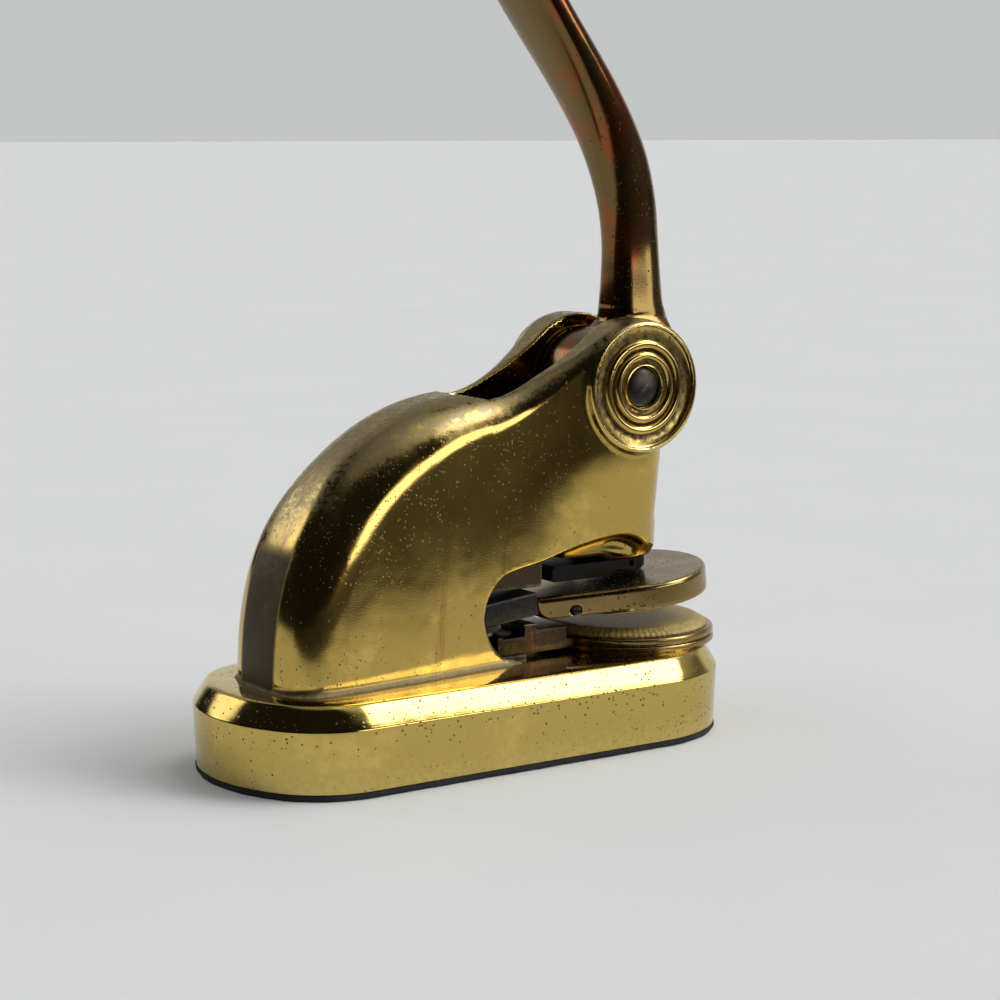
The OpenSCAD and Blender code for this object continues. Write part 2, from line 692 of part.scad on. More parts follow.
// Rear of the upper holder, tapered from the round of the disc to the steel block
taper_z = holder_z + 0.7;
taper_corner_r = 3;
taper_d = norm([die_x - tail_seam_x, tail_half_w]);
taper_a = asin(holder_r / taper_d) - atan2(tail_half_w, die_x - tail_seam_x);
taper_len = sqrt(taper_d * taper_d - holder_r * holder_r);
taper_x = tail_seam_x + taper_len * cos(taper_a);
taper_y = tail_half_w + taper_len * sin(taper_a);
module holder_rear() {
    difference() {
        translate([0, 0, taper_z])
            linear_extrude(height = holder_z + holder_t - taper_z)
                polygon([[tail_seam_x, -tail_half_w], [taper_x, -taper_y], [taper_x, taper_y], [tail_seam_x, tail_half_w]]);
        difference() {
            translate([tail_seam_x - 1, -taper_y, taper_z - 1])
                cube([taper_corner_r + 1, 2 * taper_y, taper_corner_r + 1]);
            rod(tail_seam_x + taper_corner_r, taper_z + taper_corner_r, taper_corner_r, -taper_y - 1, taper_y + 1);
        }
    }
}

// Set screw of the upper die, in the tapered side of its holder; its reach runs from the middle of the die
die_screw_a = 207;
die_screw_r = 1.1;
die_screw_z = holder_z + 2.3;
die_screw_reach = -(tail_half_w + (die_x - tail_seam_x) * tan(taper_a))
    / (sin(die_screw_a) + cos(die_screw_a) * tan(taper_a)) - 0.3;
module die_screw_rod(r0, r1) {
    translate([die_x, 0, die_screw_z])
        rotate([0, 0, die_screw_a])
            rotate([0, 90, 0])
                translate([0, 0, r0])
                    cylinder(r = die_screw_r, h = r1 - r0);
}

module upper_holder() {
    color(brass)
    lifted()
        difference() {
            union() {
                translate([die_x, 0, holder_z])
                    cylinder(r = holder_r, h = holder_t - 1.4);
                translate([die_x, 0, holder_z + holder_t - 1.4])
                    cylinder(r1 = holder_r, r2 = holder_r - 1.4, h = 1.4);
                holder_rear();
            }
            translate([die_x, 0, holder_z - 1])
                cylinder(r = die_r, h = die_t - die_proud + 1);
            tail_tongue();
            die_screw_rod(die_r - 1, die_screw_reach + 4);
        }
}

// Steel block that joins the upper holder to the spring strap
tail_rear_x = flex_x - 9;
module upper_tail() {
    color(steel)
    lifted()
        difference() {
            union() {
                across(tail_half_w)
                    polygon([[tail_rear_x, tail_z], [tail_rear_x, tail_z + tail_t - 0.7],
                        [tail_rear_x + 0.7, tail_z + tail_t], [tail_seam_x - 0.7, tail_z + tail_t],
                        [tail_seam_x, tail_z + tail_t - 0.7], [tail_seam_x, tail_z]]);
                tail_tongue();
            }
            for (y = rivet_y)
                translate([rivet_x, y, tail_z - 1])
                    cylinder(r = rivet_r, h = tail_t + 2);
        }
}

module upper_die() {
    color(brass)
    lifted()
        difference() {
            union() {
                translate([die_x, 0, holder_z - die_proud + 0.4])
                    cylinder(r = die_r, h = die_t - 0.4);
                translate([die_x, 0, holder_z - die_proud])
                    cylinder(r = die_r - 1.2, h = 1);
            }
            // sunk rings and rays of the plain pattern
            translate([die_x, 0, holder_z - die_proud - 1])
                ring_cut(die_r - 3.4, die_r - 2.6, 1.5);
            translate([die_x, 0, holder_z - die_proud - 1])
                ring_cut(8.2, 9, 1.5);
            for (i = [0 : 11])
                translate([die_x, 0, holder_z - die_proud - 1])
                    rotate([0, 0, 30 * i])
                        translate([9.6, -0.4, 0])
                            cube([5.6, 0.8, 1.5]);
        }
}

module ring_cut(r_in, r_out, h) {
    difference() {
        cylinder(r = r_out, h = h);
        translate([0, 0, -1])
            cylinder(r = r_in, h = h + 2);
    }
}

module die_screw() {
    color(steel)
    lifted()
        difference() {
            die_screw_rod(die_r + 0.05, die_screw_reach);
            translate([die_x, 0, die_screw_z])
                rotate([0, 0, die_screw_a])
                    translate([die_screw_reach - 0.5, -2, -0.2])
                        cube([1, 4, 0.4]);
        }
}

// Spring strap, bent from one strip: lower leg on the ledge, bend at the back, upper leg to the bending line
lower_leg_x = lower_tail_x + 9;
bend_r = (cos(lift_a) * (tail_z - ledge_z - strap_t / 2) - sin(lift_a) * (flex_x + strap_rear_x) - strap_t / 2)
    / (1 + cos(lift_a));
bend_z = ledge_z + strap_t / 2 + bend_r;
function strap_side(out) = let (h = out * strap_t / 2) concat(
    [[lower_leg_x, bend_z - bend_r - h]],
    arc(-strap_rear_x, bend_z, bend_r + h, -90, lift_a - 270, 24),
    [[flex_x + (strap_t / 2 - h) * sin(lift_a), tail_z - (strap_t / 2 - h) * cos(lift_a)]]);
module strap_spring() {
    inner = strap_side(-1);
    color(steel)
    difference() {
        across(tail_half_w)
            polygon(concat(strap_side(1), [for (i = [len(inner) - 1 : -1 : 0]) inner[i]]));
        for (y = rivet_y)
            lifted()
                translate([rivet_x, y, tail_z - 4])
                    cylinder(r = rivet_r + 0.5, h = 8);
        for (y = rivet_y)
            translate([lower_tail_x + 4, y, ledge_z - 1])
                cylinder(r = rivet_r, h = 4);
    }
}

upper_rivet_drop = 0.8;
module upper_rivets() {
    color(steel)
    lifted()
        for (y = rivet_y)
            translate([rivet_x, y, 0]) {
                translate([0, 0, tail_z - strap_t - upper_rivet_drop - rivet_head_t])
                    cylinder(r = rivet_head_r, h = rivet_head_t);
                translate([0, 0, tail_z - strap_t - upper_rivet_drop - 0.1])
                    cylinder(r = rivet_r, h = strap_t + upper_rivet_drop + tail_t + 0.1);
            }
}

module lower_holder() {
    color(brass)
    difference() {
        union() {
            translate([die_x, 0, ledge_z])
                cylinder(r = lower_r, h = 1.6);
            translate([die_x, 0, ledge_z + 1.4])
                cylinder(r = lower_r - 0.7, h = 0.6);
            translate([die_x, 0, ledge_z + 1.8])
                cylinder(r = lower_r - 0.1, h = lower_t - 2.4);
            translate([die_x, 0, ledge_z + lower_t - 0.6])
                cylinder(r1 = lower_r - 0.1, r2 = lower_r - 0.7, h = 0.6);
            translate([lower_tail_x, -tail_half_w, ledge_z])
                cube([die_x - lower_r - lower_tail_x + 4, 2 * tail_half_w, lower_t - 0.4]);
            translate([lower_tail_x, -tail_half_w, ledge_z])
                cube([lower_stop_x + 1 - lower_tail_x, 2 * tail_half_w, lower_tail_t]);
            // stop for the edge of the paper, with a higher step behind the seam of the upper half
            translate([lower_stop_x, -tail_half_w, ledge_z])
                cube([die_x - counter_r - 2 - lower_stop_x, 2 * tail_half_w, lower_step_t]);
            translate([lower_stop_x, -tail_half_w, ledge_z])
                cube([tail_seam_x - 0.8 - lower_stop_x, 2 * tail_half_w, lower_stop_t]);
        }
        translate([-40, -20, ledge_z - 1])
            cube([40 + lower_tail_x + 9.2, 40, strap_t + 1]);
        for (y = rivet_y)
            translate([lower_tail_x + 4, y, 0])
                cylinder(r = rivet_r, h = 60);
        translate([die_x, 0, ledge_z - 1])
            cylinder(r = holder_screw_r, h = 4);
    }
}

module counter() {
    color(tan_counter)
    difference() {
        union() {
            translate([die_x, 0, ledge_z + lower_t])
                cylinder(r1 = counter_r, r2 = counter_r - 2, h = counter_t - 0.7);
            translate([die_x, 0, counter_top_z - 0.7])
                cylinder(r = counter_r - 2.4, h = 0.7);
        }
        // fine ribs round the raised face
        for (i = [0 : 35])
            translate([die_x, 0, counter_top_z - 0.7])
                rotate([0, 0, 10 * i])
                    translate([counter_r - 3, -0.3, 0])
                        cube([2, 0.6, 1]);
    }
}

module lower_rivets() {
    color(steel)
    for (y = rivet_y)
        translate([lower_tail_x + 4, y, ledge_z])
            union() {
                cylinder(r = rivet_r, h = lower_tail_t);
                translate([0, 0, lower_tail_t])
                    cylinder(r = rivet_head_r, h = rivet_head_t);
            }
}

module lower_holder_screw() {
    color(steel)
    translate([die_x, 0, 0])
        difference() {
            union() {
                translate([0, 0, ledge_z - roof_t - 3])
                    cylinder(r = 4.6, h = 3);
                translate([0, 0, ledge_z - roof_t - 0.2])
                    cylinder(r = holder_screw_r, h = roof_t + 3.2);
            }
            translate([-6, -0.6, ledge_z - roof_t - 3.1])
                cube([12, 1.2, 1.2]);
        }
}

frame_casting();
base_plate();
base_screws();
felt_pad();
pivot_pin();
ear_bush_right();
ear_bush_left();
boss_cap_right();
boss_cap_left();
thrust_washer_right();
thrust_washer_left();
lever();
lever_bush();
ram();
ram_button();
ram_spring();
ram_guide_bush();
ram_foot();
foot_pin();
upper_holder();
upper_tail();
upper_die();
die_screw();
strap_spring();
upper_rivets();
lower_holder();
counter();
lower_rivets();
lower_holder_screw();
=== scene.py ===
# %% [markdown]
# # A seal embosser in worn brass
# A desk embosser presses a raised seal into paper. A heavy casting carries a lever whose cam drives a
# short ram, and the ram closes two round dies. The solids are already made and packed as a frame of
# bodies and joints, so this file only gives them their finished surfaces, the light and the camera.

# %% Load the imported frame
import math

import bpy
import numpy as np
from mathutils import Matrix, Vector


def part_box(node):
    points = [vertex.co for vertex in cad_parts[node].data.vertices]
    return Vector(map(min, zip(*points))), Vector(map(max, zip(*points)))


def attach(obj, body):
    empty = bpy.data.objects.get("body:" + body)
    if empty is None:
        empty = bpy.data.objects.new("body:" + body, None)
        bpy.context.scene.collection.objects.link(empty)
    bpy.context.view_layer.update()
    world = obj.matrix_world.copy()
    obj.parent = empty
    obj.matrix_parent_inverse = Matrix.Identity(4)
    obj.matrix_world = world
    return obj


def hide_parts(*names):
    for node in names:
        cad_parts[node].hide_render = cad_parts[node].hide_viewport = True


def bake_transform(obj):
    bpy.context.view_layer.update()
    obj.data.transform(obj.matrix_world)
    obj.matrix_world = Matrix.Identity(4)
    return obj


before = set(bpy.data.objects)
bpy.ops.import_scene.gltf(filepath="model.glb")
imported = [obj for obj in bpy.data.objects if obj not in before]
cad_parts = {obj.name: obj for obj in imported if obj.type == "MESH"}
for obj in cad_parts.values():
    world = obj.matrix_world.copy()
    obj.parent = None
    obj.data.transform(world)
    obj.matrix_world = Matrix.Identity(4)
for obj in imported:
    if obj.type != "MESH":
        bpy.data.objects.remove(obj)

scene = bpy.context.scene
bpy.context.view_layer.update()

# %% [markdown]
# The sizes below are in millimetres, as a machinist would note them. Places are read from the frame where
# a node gives them, so that a finished surface always sits on its own solid. The rest are the driving
# sizes of the casting, named once and used everywhere.

# %% Places that the frame gives
MM = 0.001
TURN = 2 * math.pi


def corners_mm(node):
    low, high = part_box(node)
    return [1000 * v for v in low], [1000 * v for v in high]


base_low, base_high = corners_mm("frame_casting")
pin_low, pin_high = corners_mm("pivot_pin")
counter_low, counter_high = corners_mm("counter")
holder_low, holder_high = corners_mm("lower_holder")
button_low, button_high = corners_mm("ram_button")
BASE_HALF_W = base_high[1]
BASE_FRONT = base_high[0]
BASE_REAR = base_low[0]
FELT_TOP = corners_mm("felt_pad")[1][2]
PIVOT_X = (pin_low[0] + pin_high[0]) / 2
PIVOT_Z = (pin_low[2] + pin_high[2]) / 2
PIN_R = (pin_high[0] - pin_low[0]) / 2
PIN_END = pin_high[1]
RAM_X = (button_low[0] + button_high[0]) / 2
DIE_X = (counter_low[0] + counter_high[0]) / 2
LEDGE_Z = holder_low[2]
LOWER_R = holder_high[0] - DIE_X
COUNTER_TOP = counter_high[2]
print("pivot at", round(PIVOT_X, 2), round(PIVOT_Z, 2), "dies at", round(DIE_X, 2), "ledge at", round(LEDGE_Z, 2))

# %% Driving sizes of the casting
BEVEL_Z = 17.0
BOSS_R = 17.0
BOSS_HALF_W = 19.6
CAP_SEAT = BOSS_HALF_W - 2.0
CAP_R = 15.5
SLOT_HALF_W = 9.0
SLOT_FLOOR = 78.0
SLOT_REAR = 5.0
HUB_ROOM_R = 22.6
BUSH_R = 7.0

# %% [markdown]
# ## Surfaces from a distance field
# A casting has no sharp inner corners: walls run into each other in soft fillets, and polished brass shows
# every one of them. Boxes and cylinders joined by booleans would give hard seams. Here the shape is written
# as a field instead: a formula that is negative inside and positive outside. Two fields are met, joined or
# cut with a radius, which makes the fillets, and the surface is then drawn where the field is zero.

# %% Meeting, joining and cutting fields with a radius
FAR = 1e9
CELL = 0.7
FINE_CELL = 0.42


def meet(a, b, r):
    """Space inside both a and b, its edge rounded by r."""
    u = np.maximum(a + r, 0)
    v = np.maximum(b + r, 0)
    return np.minimum(-r, np.maximum(a, b)) + np.sqrt(u * u + v * v)


def join(a, b, r):
    """Space inside a or b, with a fillet of radius r between them."""
    return -meet(-a, -b, r)


def cut(a, b, r):
    """Space inside a but not in b, with the cut's edge rounded by r."""
    return meet(a, -b, r)


# %% Smooth curves through given points
def curve_through(points):
    """A function of one number that runs smoothly through (place, value) points."""
    p = np.array(points, float)
    slope = np.gradient(p[:, 1], p[:, 0])

    def value(x):
        x = np.clip(x, p[0, 0], p[-1, 0])
        i = np.clip(np.searchsorted(p[:, 0], x, side="right") - 1, 0, len(p) - 2)
        h = p[i + 1, 0] - p[i, 0]
        t = (x - p[i, 0]) / h
        a = (1 + 2 * t) * (1 - t) ** 2 * p[i, 1] + t * (1 - t) ** 2 * h * slope[i]
        return a + t * t * (3 - 2 * t) * p[i + 1, 1] + t * t * (t - 1) * h * slope[i + 1]

    return value


def smooth_line(points, spans=4):
    """More points on the smooth line through the given ones."""
    p = np.array(points, float)
    place = np.arange(len(p))
    fine = np.linspace(0, len(p) - 1, (len(p) - 1) * spans + 1)
    return np.stack([curve_through(np.stack([place, p[:, k]], 1))(fine) for k in range(p.shape[1])], 1)


def beside_segment(x, z, start, end):
    """The share along a segment that lies nearest, and the offset from there."""
    (x0, z0), (x1, z1) = start, end
    ex, ez = x1 - x0, z1 - z0
    t = np.clip(((x - x0) * ex + (z - z0) * ez) / (ex * ex + ez * ez), 0, 1)
    return t, x - x0 - t * ex, z - z0 - t * ez


def inside_line(x, z, line):
    """Signed distance to a closed line in the x, z plane, negative inside."""
    best = np.full(np.broadcast(x, z).shape, FAR)
    winding = np.zeros(best.shape, bool)
    for start, end in zip(line, np.roll(line, -1, axis=0)):
        _, dx, dz = beside_segment(x, z, start, end)
        best = np.minimum(best, dx * dx + dz * dz)
        (x0, z0), (x1, z1) = start, end
        if z1 != z0:
            winding ^= ((z0 > z) != (z1 > z)) & (x < x0 + (z - z0) * (x1 - x0) / (z1 - z0))
    return np.where(winding, -1, 1) * np.sqrt(best)


def between(value, low, high):
    """Distance outside a span, negative within it."""
    return np.abs(value - (low + high) / 2) - (high - low) / 2


def oval(a, b, fullness):
    """How far shares a and b of its two half axes lie outside an oval. A fuller one is squarer."""
    return (a ** fullness + b ** fullness) ** (1 / fullness) - 1


def from_pivot(x, z):
    return np.hypot(x - PIVOT_X, z - PIVOT_Z)


# %% [markdown]
# The surface is drawn by a surface net: space is divided in small cells, every cell that the surface
# passes through gets one point, and neighbours are joined by quads. The points are then slid along the
# field's slope onto the exact surface, and the slope also gives each point its shading normal. That is what
# makes the polished walls reflect cleanly, with far fewer faces than a smooth subdivision would need.

# %% Slope of a field
def slope_at(field, p, eps=0.04):
    out = np.empty_like(p)
    for k in range(3):
        step = np.zeros(3)
        step[k] = eps
        up = field(*(p + step).T)
        down = field(*(p - step).T)
        out[:, k] = (up - down) / (2 * eps)
    return out


# %% Points where cells meet the surface
def net_points(value, inside, low, cell):
    count = inside.shape
    filled = sum(inside[a:count[0] - 1 + a, b:count[1] - 1 + b, c:count[2] - 1 + c].astype(np.uint8)
                 for a in (0, 1) for b in (0, 1) for c in (0, 1))
    mixed = (filled > 0) & (filled < 8)
    number = np.full(mixed.shape, -1)
    number[mixed] = np.arange(mixed.sum())
    cells = np.argwhere(mixed)
    total = np.zeros((len(cells), 3))
    hits = np.zeros(len(cells))
    for k in range(3):
        for a in (0, 1):
            for b in (0, 1):
                start = np.zeros(3, int)
                start[(k + 1) % 3], start[(k + 2) % 3] = a, b
                c0 = cells + start
                c1 = c0.copy()
                c1[:, k] += 1
                f0, f1 = value[tuple(c0.T)], value[tuple(c1.T)]
                crossed = (f0 < 0) != (f1 < 0)
                t = np.where(crossed, f0 / np.where(crossed, f0 - f1, 1), 0)
                spot = c0.astype(float)
                spot[:, k] += t
                total[crossed] += spot[crossed]
                hits += crossed
    return number, np.array(low) + cell * total / hits[:, None]


# %% Quads between neighbouring cells
def net_quads(inside, number):
    count = inside.shape
    quads = []
    for k in range(3):
        u, v = (k + 1) % 3, (k + 2) % 3
        first = np.moveaxis(inside, k, 0)[:-1]
        second = np.moveaxis(inside, k, 0)[1:]
        where = np.argwhere(np.moveaxis(first != second, 0, k))
        keep = (where[:, u] > 0) & (where[:, u] < count[u] - 1) & (where[:, v] > 0) & (where[:, v] < count[v] - 1)
        where = where[keep]
        corners = []
        for du, dv in ((1, 1), (0, 1), (0, 0), (1, 0)):
            c = where.copy()
            c[:, u] -= du
            c[:, v] -= dv
            corners.append(number[tuple(c.T)])
        quad = np.stack(corners, 1)
        flip = ~inside[tuple(where.T)]
        quad[flip] = quad[flip][:, ::-1]
        quads.append(quad)
    return np.concatenate(quads)


# %% Drawing a field as a mesh
def surface_net(field, low, high, cell):
    count = [int(math.ceil((high[k] - low[k]) / cell)) + 1 for k in range(3)]
    axes = [low[k] + cell * np.arange(count[k]) for k in range(3)]
    value = field(axes[0][:, None, None], axes[1][None, :, None], axes[2][None, None, :])
    value = np.broadcast_to(value, count)
    inside = value < 0
    number, points = net_points(value, inside, low, cell)
    quads = net_quads(inside, number)
    for _ in range(4):
        g = slope_at(field, points)
        f = field(*points.T)
        move = f[:, None] * g / np.maximum((g * g).sum(1), 0.05)[:, None]
        length = np.linalg.norm(move, axis=1)[:, None]
        points = points - move * np.minimum(1, 0.4 * cell / np.maximum(length, 1e-9))
    g = slope_at(field, points)
    return points, quads, g / np.linalg.norm(g, axis=1)[:, None]


# %% [markdown]
# ## Turned and bent pieces
# Discs, caps, pins and the felt are bodies of one section, so each is a stack of rings. The section is a
# list of corners, and a corner may ask for a small radius, because a machined edge that catches no light
# looks drawn and not made. Flat bars get their section in the side view and a rounded edge on both flanks.

# %% A section with softened corners
def soft_corners(corners, closed=False, steps=4):
    """Corners are (u, v) or (u, v, radius). Each radius becomes a short curve."""
    out = []
    n = len(corners)
    for i, corner in enumerate(corners):
        here = np.array(corner[:2], float)
        r = corner[2] if len(corner) > 2 else 0
        if r == 0 or (not closed and i in (0, n - 1)):
            out.append(here)
            continue
        back = np.array(corners[i - 1][:2], float) - here
        on = np.array(corners[(i + 1) % n][:2], float) - here
        reach = min(r, 0.48 * np.linalg.norm(back), 0.48 * np.linalg.norm(on))
        a = here + back / np.linalg.norm(back) * reach
        b = here + on / np.linalg.norm(on) * reach
        for t in np.linspace(0, 1, steps + 1):
            out.append((1 - t) ** 2 * a + 2 * t * (1 - t) * here + t * t * b)
    return np.array(out)


# %% Skin of a stack of rings
def skin(rings, close_ends=True):
    """Rings have equal numbers of points. Returns points and faces."""
    n = len(rings[0])
    points = np.concatenate(rings)
    faces = []
    for i in range(len(rings) - 1):
        for j in range(n):
            k = (j + 1) % n
            faces.append([i * n + j, i * n + k, (i + 1) * n + k, (i + 1) * n + j])
    if close_ends:
        faces.append([n - 1 - j for j in range(n)])
        faces.append([(len(rings) - 1) * n + j for j in range(n)])
    return points, faces


# %% A turned body round an upright or a cross axis
def turned(section, x, z=None, count=128):
    """Section is (radius, height). With z given, the axis runs across the part through x, z."""
    a = np.linspace(0, TURN, count, endpoint=False)
    rings = []
    for radius, height in section:
        r = max(radius, 0.02)
        if z is None:
            rings.append(np.column_stack([x + r * np.cos(a), r * np.sin(a), np.full(count, height)]))
        else:
            rings.append(np.column_stack([x + r * np.cos(a), np.full(count, height), z + r * np.sin(a)]))
    return skin(rings)


# %% A flat bar with rounded flanks
def bar_across(section, half_w, edge=0.5, steps=4):
    """Section is a closed line of (x, z) points, drawn across the part."""
    back = section - np.roll(section, 1, axis=0)
    on = np.roll(section, -1, axis=0) - section
    back = back / np.linalg.norm(back, axis=1)[:, None]
    on = on / np.linalg.norm(on, axis=1)[:, None]
    lean = np.column_stack([back[:, 1] + on[:, 1], -back[:, 0] - on[:, 0]])
    lean = lean / np.linalg.norm(lean, axis=1)[:, None]
    area = np.sum(section[:, 0] * np.roll(section[:, 1], -1) - np.roll(section[:, 0], -1) * section[:, 1])
    lean = lean if area > 0 else -lean
    rings = []
    for side in (-1, 1):
        angles = np.linspace(0, math.pi / 2, steps)
        for a in angles if side < 0 else angles[::-1]:
            line = section - lean * edge * (1 - math.sin(a))
            y = side * (half_w - edge * (1 - math.cos(a)))
            rings.append(np.column_stack([line[:, 0], np.full(len(line), y), line[:, 1]]))
    return skin(rings)


# %% Making a piece from points and faces
def piece(name, shape, body, material, replaces=(), normals=None, sharp=35):
    """Shape is points in millimetres and faces. Corners sharper than sharp degrees stay crisp."""
    points, faces = shape
    faces = [f if isinstance(f, list) else f.tolist() for f in faces]
    mesh = bpy.data.meshes.new(name)
    mesh.from_pydata((np.array(points) * MM).tolist(), [], faces)
    mesh.update()
    fans = [(points[f[0]], points[f[i]], points[f[i + 1]]) for f in faces for i in range(1, len(f) - 1)]
    a, b, c = np.array(fans).transpose(1, 0, 2)
    if np.einsum("ij,ij->i", a, np.cross(b, c)).sum() < 0:
        mesh.flip_normals()
    mesh.polygons.foreach_set("use_smooth", np.ones(len(mesh.polygons), bool))
    if normals is not None:
        mesh.normals_split_custom_set_from_vertices(normals.tolist())
    else:
        mesh.set_sharp_from_angle(angle=math.radians(sharp))
    obj = bpy.data.objects.new(name, mesh)
    scene.collection.objects.link(obj)
    mesh.materials.append(material)
    if body:
        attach(obj, body)
    if replaces:
        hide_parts(*replaces)
    print(name, len(mesh.vertices), "points", len(mesh.polygons), "faces")
    return obj

# %% [markdown]
# ## Materials
# The brass is old: it was polished bright, then handled for years. Six things show on it: a thin olive
# film of tarnish, small brown pits, reddish streaks, dirt in the creases beside worn bright edges, a rubbed
# polish and a dull top. Each of them is a node group with named sockets, made once, so that every brass
# piece uses the same effects with its own strength, as the pieces of one machine age together.

# %% Small helpers for nodes
def add(tree, kind, inputs=(), **settings):
    """A node with its sockets filled. A socket value that is itself a socket is linked."""
    node = tree.nodes.new(kind)
    for key, value in settings.items():
        setattr(node, key, value)
    for key, value in dict(inputs).items():
        if isinstance(value, bpy.types.NodeSocket):
            tree.links.new(value, node.inputs[key])
        else:
            node.inputs[key].default_value = value
    return node


def group(name, outputs, **inputs):
    """An empty effect that reads a place and some numbers, and gives numbers."""
    tree = bpy.data.node_groups.new(name, "ShaderNodeTree")
    tree.interface.new_socket("Vector", in_out="INPUT", socket_type="NodeSocketVector")
    for label, default in inputs.items():
        tree.interface.new_socket(label, in_out="INPUT", socket_type="NodeSocketFloat").default_value = default
    for label in outputs:
        tree.interface.new_socket(label, in_out="OUTPUT", socket_type="NodeSocketFloat")
    return tree, tree.nodes.new("NodeGroupInput").outputs, tree.nodes.new("NodeGroupOutput").inputs


def effect(tree, place, shared, **inputs):
    """The outputs of a shared effect at a place."""
    return add(tree, "ShaderNodeGroup", {"Vector": place, **inputs}, node_tree=shared).outputs


def math_node(tree, operation, a, b=0.0, c=0.0):
    return add(tree, "ShaderNodeMath", {0: a, 1: b, 2: c}, operation=operation).outputs[0]


def times(tree, a, b):
    return math_node(tree, "MULTIPLY", a, b)


def ramp(tree, value, low, high, out_low=0.0, out_high=1.0):
    """Runs smoothly from out_low to out_high while value runs from low to high."""
    node = add(tree, "ShaderNodeMapRange", {"Value": value, "From Min": low, "From Max": high, "To Min": out_low,
                                            "To Max": out_high}, interpolation_type="SMOOTHSTEP")
    return node.outputs["Result"]


def covered(tree, value, level, cover, soft):
    """A mask where value passes a level that cover brings down."""
    low = math_node(tree, "SUBTRACT", level, cover)
    return ramp(tree, value, low, math_node(tree, "ADD", low, soft))


def noise(tree, place, scale, detail, **more):
    sockets = {"Vector": place, "Scale": scale, "Detail": detail, **more}
    return add(tree, "ShaderNodeTexNoise", sockets).outputs["Fac"]


def scaled(tree, vector, by):
    return add(tree, "ShaderNodeVectorMath", {0: vector, 1: by}, operation="MULTIPLY").outputs[0]


def blend_colour(tree, share, a, b):
    node = add(tree, "ShaderNodeMix", data_type="RGBA")
    for socket, value in ((node.inputs[0], share), (node.inputs[6], a), (node.inputs[7], b)):
        if isinstance(value, bpy.types.NodeSocket):
            tree.links.new(value, socket)
        elif isinstance(value, float):
            socket.default_value = value
        else:
            socket.default_value = (*value, 1)
    return node.outputs[2]


# %% [markdown]
# Tarnish is a film that grows in clouds. One broad noise says where it lies and a finer one frays its
# edge. Both read the object's own coordinates in metres, so a scale of 60 makes clouds about 17 mm wide.

# %% Group for the film of tarnish
film, film_in, film_out = group("tarnish_film", ["Mask"], Scale=60.0, Cover=0.5)
broad = noise(film, film_in["Vector"], film_in["Scale"], 5.0, Roughness=0.6, Distortion=0.5)
fine = noise(film, film_in["Vector"], times(film, film_in["Scale"], 9.0), 3.0)
frayed = math_node(film, "MULTIPLY_ADD", fine, 0.22, broad)
film.links.new(covered(film, frayed, 0.86, film_in["Cover"], 0.2), film_out["Mask"])

# %% [markdown]
# Pits are where the film broke through. A cell texture spreads points, a share of them is picked by the
# cell's random colour, and each picked cell gets a small spot whose size also varies.

# %% Group for pits
PIT_WANDER = 0.0006
pits, pits_in, pits_out = group("brown_pits", ["Mask"], Scale=900.0, Share=0.3)
wobble = add(pits, "ShaderNodeTexNoise", {"Vector": pits_in["Vector"], "Scale": 1500.0, "Detail": 1.0})
bent = scaled(pits, wobble.outputs["Color"], (PIT_WANDER, PIT_WANDER, PIT_WANDER))
bent_place = add(pits, "ShaderNodeVectorMath", {0: bent, 1: pits_in["Vector"]}, operation="ADD").outputs[0]
cells = add(pits, "ShaderNodeTexVoronoi", {"Vector": bent_place, "Scale": pits_in["Scale"]})
lot = add(pits, "ShaderNodeSeparateColor", {0: cells.outputs["Color"]}).outputs
crowding = ramp(pits, noise(pits, pits_in["Vector"], 45.0, 3.0), 0.35, 0.68, 0.15, 1.9)
picked = math_node(pits, "LESS_THAN", lot[0], times(pits, pits_in["Share"], crowding))
spot_r = ramp(pits, lot[1], 0.0, 1.0, 0.12, 0.42)
spot = ramp(pits, cells.outputs["Distance"], times(pits, spot_r, 0.45), spot_r, 1.0, 0.0)
pits.links.new(times(pits, spot, picked), pits_out["Mask"])

# %% [markdown]
# Streaks of red copper colour run down the surface where the zinc was leached out. They are the same kind
# of noise, but the coordinates are squeezed, so the clouds become long.

# %% Group for streaks
streaks, streaks_in, streaks_out = group("copper_streaks", ["Mask"], Cover=0.4)
long_place = scaled(streaks, streaks_in["Vector"], (1.0, 1.0, 0.22))
long_noise = noise(streaks, long_place, 95.0, 5.0, Roughness=0.62, Distortion=0.8)
streaks.links.new(covered(streaks, long_noise, 0.95, streaks_in["Cover"], 0.16), streaks_out["Mask"])

# %% [markdown]
# Handling polishes what sticks out and leaves dirt in what lies back. Pointiness tells the two apart: it
# is above a half on convex edges and below it in creases.

# %% Group for worn edges and dirty creases
CONVEX = 0.515
CREASED = 0.485
edges, edges_in, edges_out = group("edge_wear", ["Worn", "Dirt"], Reach=0.06)
ragged = ramp(edges, noise(edges, edges_in["Vector"], 700.0, 3.0), 0.3, 0.7, -0.012, 0.012)
point = math_node(edges, "ADD", add(edges, "ShaderNodeNewGeometry").outputs["Pointiness"], ragged)
fully_worn = math_node(edges, "ADD", CONVEX, edges_in["Reach"])
fully_dirty = math_node(edges, "SUBTRACT", CREASED, edges_in["Reach"])
edges.links.new(ramp(edges, point, CONVEX, fully_worn), edges_out["Worn"])
edges.links.new(ramp(edges, point, fully_dirty, CREASED, 1.0, 0.0), edges_out["Dirt"])

# %% [markdown]
# A polished surface that people touch is never evenly smooth. Broad smudges change its roughness, fine
# rubbing marks cross it, and the polishing wheel leaves it faintly wavy.

